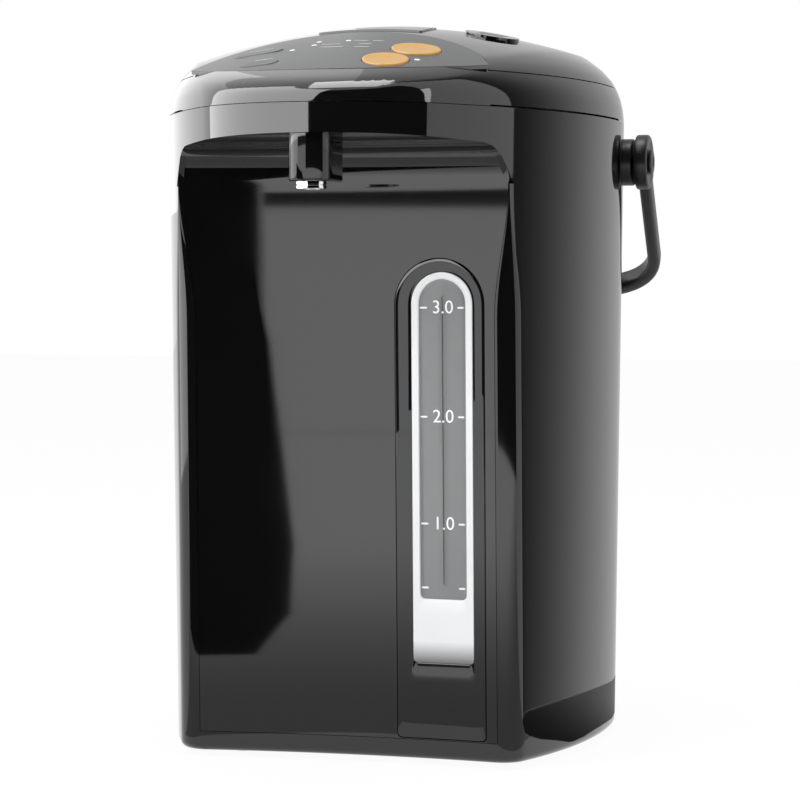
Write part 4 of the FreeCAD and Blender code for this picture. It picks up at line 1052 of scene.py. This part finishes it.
@dataclass
class Nozzle:
    """Pouring nozzle under the beak, with its chrome ring."""

    reach: float = 166.0
    half: float = 9.8
    depth: float = 26.0

    def build(self) -> None:
        """Builds the nozzle: stadium-like rings that narrow at the lower rim, and a turned ring."""
        back = -self.reach - self.half + self.depth
        angle = np.linspace(math.pi, 2 * math.pi, 40)
        front = np.stack([self.half * np.cos(angle), -self.reach + self.half * np.sin(angle)], axis=1)
        sides = np.linspace(0.0, 1.0, 8)[1:]
        right = np.stack([np.full(7, self.half), -self.reach + (back + self.reach) * sides], axis=1)
        rear = np.stack([np.linspace(self.half, -self.half, 12)[1:-1], np.full(10, back)], axis=1)
        left = right[::-1] * [-1, 1]
        outline = np.concatenate([front, right, rear, left])
        middle = np.array([0.0, -self.reach + 3.0])
        rows = []
        for shrink, z in ((1.0, 266.0), (0.5, 266.0), (0.08, 266.0), (0.06, 266.1), (0.02, 266.5), (0.0, 267.2),
                          (0.0, 288.0), (1.0, 288.0)):
            flat = middle + (outline - middle) * (1 - shrink)
            rows.append(np.concatenate([flat, np.full((len(flat), 1), z)], axis=1))
        grid = np.stack(rows)
        add_piece("nozzle_skin", [(grid.reshape(-1, 3), grid_faces(len(rows), len(outline), False, True))], "pot",
                  "gloss_black", replaced=("nozzle_body",))
        ring = np.array([(4.7, 266.0), (6.5, 266.0), (6.8, 265.7), (6.8, 264.6), (6.5, 264.4), (6.5, 264.1),
                         (6.8, 263.9),
                         (6.8, 262.8), (6.5, 262.5), (5.0, 262.5), (4.7, 262.8), (4.7, 266.0)])
        add_piece("nozzle_rim", [turned(ring, (0.0, -self.reach, 0.0), (0, 0, 1), 72)], "pot", "chrome",
                  replaced=("nozzle_ring",))


# upright cards: name, start and end in degrees, radius, low, high, brightness and how it fades
WALLS = (
    ("soft_wall", -10.5, -100.0, 1400.0, 285.0, 4200.0, 4.6),
    ("left_grey", -100.2, -150.0, 1400.0, 285.0, 1500.0, 1.6),
    ("front_flag", 72.0, -10.3, 1300.0, 0.0, 3000.0, 0.0),
    ("side_flag", 202.0, 72.2, 215.0, 0.5, 1300.0, 0.03, (-0.07, 0.14, 0.66)),
    ("front_glow", -10.5, -50.0, 1400.0, 0.5, 214.0, 1.65),
    ("left_glow", -50.1, -100.0, 1400.0, 0.5, 284.5, 2.5),
    ("top_band", -10.5, -50.0, 1395.0, 214.5, 300.0, 0.08),
)
# cards on the floor: name, start and end in degrees, near and far radius, brightness and how it fades
GROUNDS = (
    ("front_ground", -50.0, 68.0, 160.0, 1390.0, 1.65, (-0.75, -0.16, 0.45)),
    ("side_ground", 68.5, 202.0, 118.0, 214.0, 0.03, (-0.05, 0.15, 0.26)),
)


@dataclass
class Studio:
    """Camera, pale floor, backdrop and soft lights."""

    turn: float = 14.177
    distance: float = 1325.416
    focal: float = 2664.171

    def camera(self) -> None:
        """Camera at the photograph's viewing angle; lens = focal * 36 / 800."""
        data = bpy.data.cameras.new("camera")
        data.sensor_width = 36.0
        data.lens = self.focal * 36.0 / 800.0
        eye = bpy.data.objects.new("camera", data)
        a = math.radians(self.turn)
        eye.location = (self.distance * math.sin(a) * MM, (-self.distance * math.cos(a) + AXIS_Y) * MM, 0.223896)
        eye.rotation_euler = (math.radians(90 - 2.625), 0.0, math.radians(self.turn + 0.091))
        bpy.context.scene.collection.objects.link(eye)
        bpy.context.scene.camera = eye

    def seen(self, net: NodeNet) -> Socket:
        """1 for camera, glossy and transmission rays."""
        rays = [net.add("ShaderNodeLightPath", {}, {}, "Is " + kind + " Ray")
                for kind in ("Camera", "Glossy", "Transmission")]
        return rays[0].maths("MAXIMUM", rays[0].maths("MAXIMUM", rays[0], rays[1]), rays[2])

    def world(self) -> None:
        """White where it is seen, dimmer where it lights."""
        world = bpy.data.worlds.new("room")
        bpy.context.scene.world = world
        net = NodeNet(world)
        strength = self.seen(net) * 0.55 + 0.45
        back = net.add("ShaderNodeBackground", {}, {"Color": WHITE, "Strength": strength})
        end = net.tree.nodes.new("ShaderNodeOutputWorld")
        net.tree.links.new(back.link, end.inputs["Surface"])

    def floor(self) -> None:
        """Pale floor that stays white in the view and keeps the shadow."""
        mesh = bpy.data.meshes.new("floor")
        mesh.from_pydata([(-6, -6, 0), (6, -6, 0), (6, 6, 0), (-6, 6, 0)], [], [(0, 1, 2, 3)])
        floor = bpy.data.objects.new("floor", mesh)
        bpy.context.scene.collection.objects.link(floor)
        material = bpy.data.materials.new("floor")
        net = NodeNet(material)
        shade = net.add("ShaderNodeBsdfDiffuse", {}, {"Color": (0.82, 0.82, 0.82, 1.0)})
        glow = net.add("ShaderNodeEmission", {}, {"Color": WHITE, "Strength": 1.03})
        view = net.add("ShaderNodeLightPath", {}, {}, "Is Camera Ray")
        both = net.add("ShaderNodeMixShader", {}, {0: self.seen(net) * 0.7 + view * 0.22, 1: shade, 2: glow})
        end = net.tree.nodes.new("ShaderNodeOutputMaterial")
        net.tree.links.new(both.link, end.inputs["Surface"])
        mesh.materials.append(material)

    def card(self, name: str, points: Array, faces: Array, level: float, fade: tuple | None = None) -> None:
        """Card seen only in reflections: dark as a flag, bright as a soft box.

        Args:
            name: Name of the card.
            points: Corners in body-axis millimetres.
            faces: Polygons.
            level: Brightness, where 1 is white.
            fade: Start and end of a change towards the back, in frame metres along y, and the brightness there.
        """
        mesh = bpy.data.meshes.new(name)
        mesh.from_pydata(to_frame(points).tolist(), [], faces)
        card = bpy.data.objects.new(name, mesh)
        bpy.context.scene.collection.objects.link(card)
        material = bpy.data.materials.new(name)
        net = NodeNet(material)
        strength: Socket | float = level
        if fade is not None:
            depth = net.add("ShaderNodeSeparateXYZ", {}, {0: net.add("ShaderNodeTexCoord", {}, {}, "Object")}, "Y")
            strength = net.add("ShaderNodeMapRange", {"interpolation_type": "SMOOTHSTEP"},
                               {0: depth, 1: fade[0], 2: fade[1], 3: level, 4: fade[2]})
        glow = net.add("ShaderNodeEmission", {}, {"Color": WHITE, "Strength": strength})
        end = net.tree.nodes.new("ShaderNodeOutputMaterial")
        net.tree.links.new(glow.link, end.inputs["Surface"])
        mesh.materials.append(material)
        card.visible_camera = card.visible_diffuse = card.visible_shadow = card.visible_transmission = False

    def wall(self, name: str, start: float, end: float, radius: float, low: float, high: float, level: float,
             fade: tuple | None = None) -> None:
        """Upright curved wall round the pot: (r sin a, -r cos a, z), a from start to end in degrees."""
        a = np.radians(np.linspace(start, end, 40))[None, :]
        z = np.array([low, high])[:, None]
        grid = np.stack([radius * np.sin(a) + 0 * z, -radius * np.cos(a) + 0 * z, z + 0 * a], axis=2)
        self.card(name, grid.reshape(-1, 3), grid_faces(2, 40, False, False).tolist(), level, fade)

    def ground(self, name: str, start: float, end: float, near: float, far: float, level: float,
               fade: tuple) -> None:
        """Flat ring piece just over the floor, from radius near to far, a from start to end in degrees."""
        a = np.radians(np.linspace(start, end, 60))[None, :]
        radius = np.array([near, far])[:, None]
        grid = np.stack([radius * np.sin(a), -radius * np.cos(a), np.full((2, 60), 0.4)], axis=2)
        self.card(name, grid.reshape(-1, 3), grid_faces(2, 60, False, False).tolist(), level, fade)

    def lamp(self, name: str, place: tuple[float, float, float], size: float, power: float) -> None:
        """Square area light aimed at the middle of the pot."""
        data = bpy.data.lights.new(name, "AREA")
        data.size, data.energy = size, power
        light = bpy.data.objects.new(name, data)
        light.location = place
        light.rotation_euler = (Vector((0, 0, 0.18)) - Vector(place)).to_track_quat("-Z", "Y").to_euler()
        bpy.context.scene.collection.objects.link(light)

    def build(self) -> None:
        """Sets up the whole studio."""
        bpy.context.scene.view_settings.view_transform = "Standard"
        self.camera()
        self.world()
        self.floor()
        self.lamp("key", (-1.2, -1.6, 1.8), 1.0, 22.0)
        self.lamp("fill", (1.8, -0.8, 1.2), 1.0, 10.0)
        self.lamp("top", (0.0, 0.1, 2.2), 1.0, 14.0)
        for row in WALLS:
            self.wall(*row)
        for row in GROUNDS:
            self.ground(*row)
        edge = np.array([(-95, 225), (-79, 218), (-75, 177), (-73, 116), (-71.5, 65), (-72.5, 26), (-79, 3),
                         (-330, 1),
                         (-330, 225)], float)
        near = np.stack([edge[:, 0], np.full(len(edge), -330.0), edge[:, 1]], axis=1)
        self.card("near_flag", near, [list(range(len(edge)))], 0.0)


def paint_nodes() -> None:
    """Gives every CAD node that still shows the finish of its slot."""
    slots = {node: entry["slot"] for entry in frame["record"]["materials"] for node in entry.get("nodes", [])}
    for node, piece in frame["nodes"].items():
        finish = slots.get(node, piece.data.materials[0].name.split(".")[0] if piece.data.materials else "steel")
        if finish not in FINISHES:
            LOG.warning("%s has no finish named %s", node, finish)
            finish = "inner_plastic"
        piece.data.materials.clear()
        piece.data.materials.append(PAINT.get(finish))
        LOG.info("%s painted %s", node, finish)


def corners(pair: tuple) -> list[list[float]]:
    """Two corners as plain lists."""
    return [list(pair[0]), list(pair[1])]


def main() -> None:
    """Builds the pot's looks in order."""
    logging.basicConfig(level=logging.INFO, format="%(name)s %(message)s")
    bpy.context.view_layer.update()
    paint_nodes()
    case = Case()
    case.build()
    Recess(case).build()
    Gauge().build()
    Top().build()
    Handle().build()
    Nozzle().build()
    Studio().build()


if __name__ == "__main__":
    main()
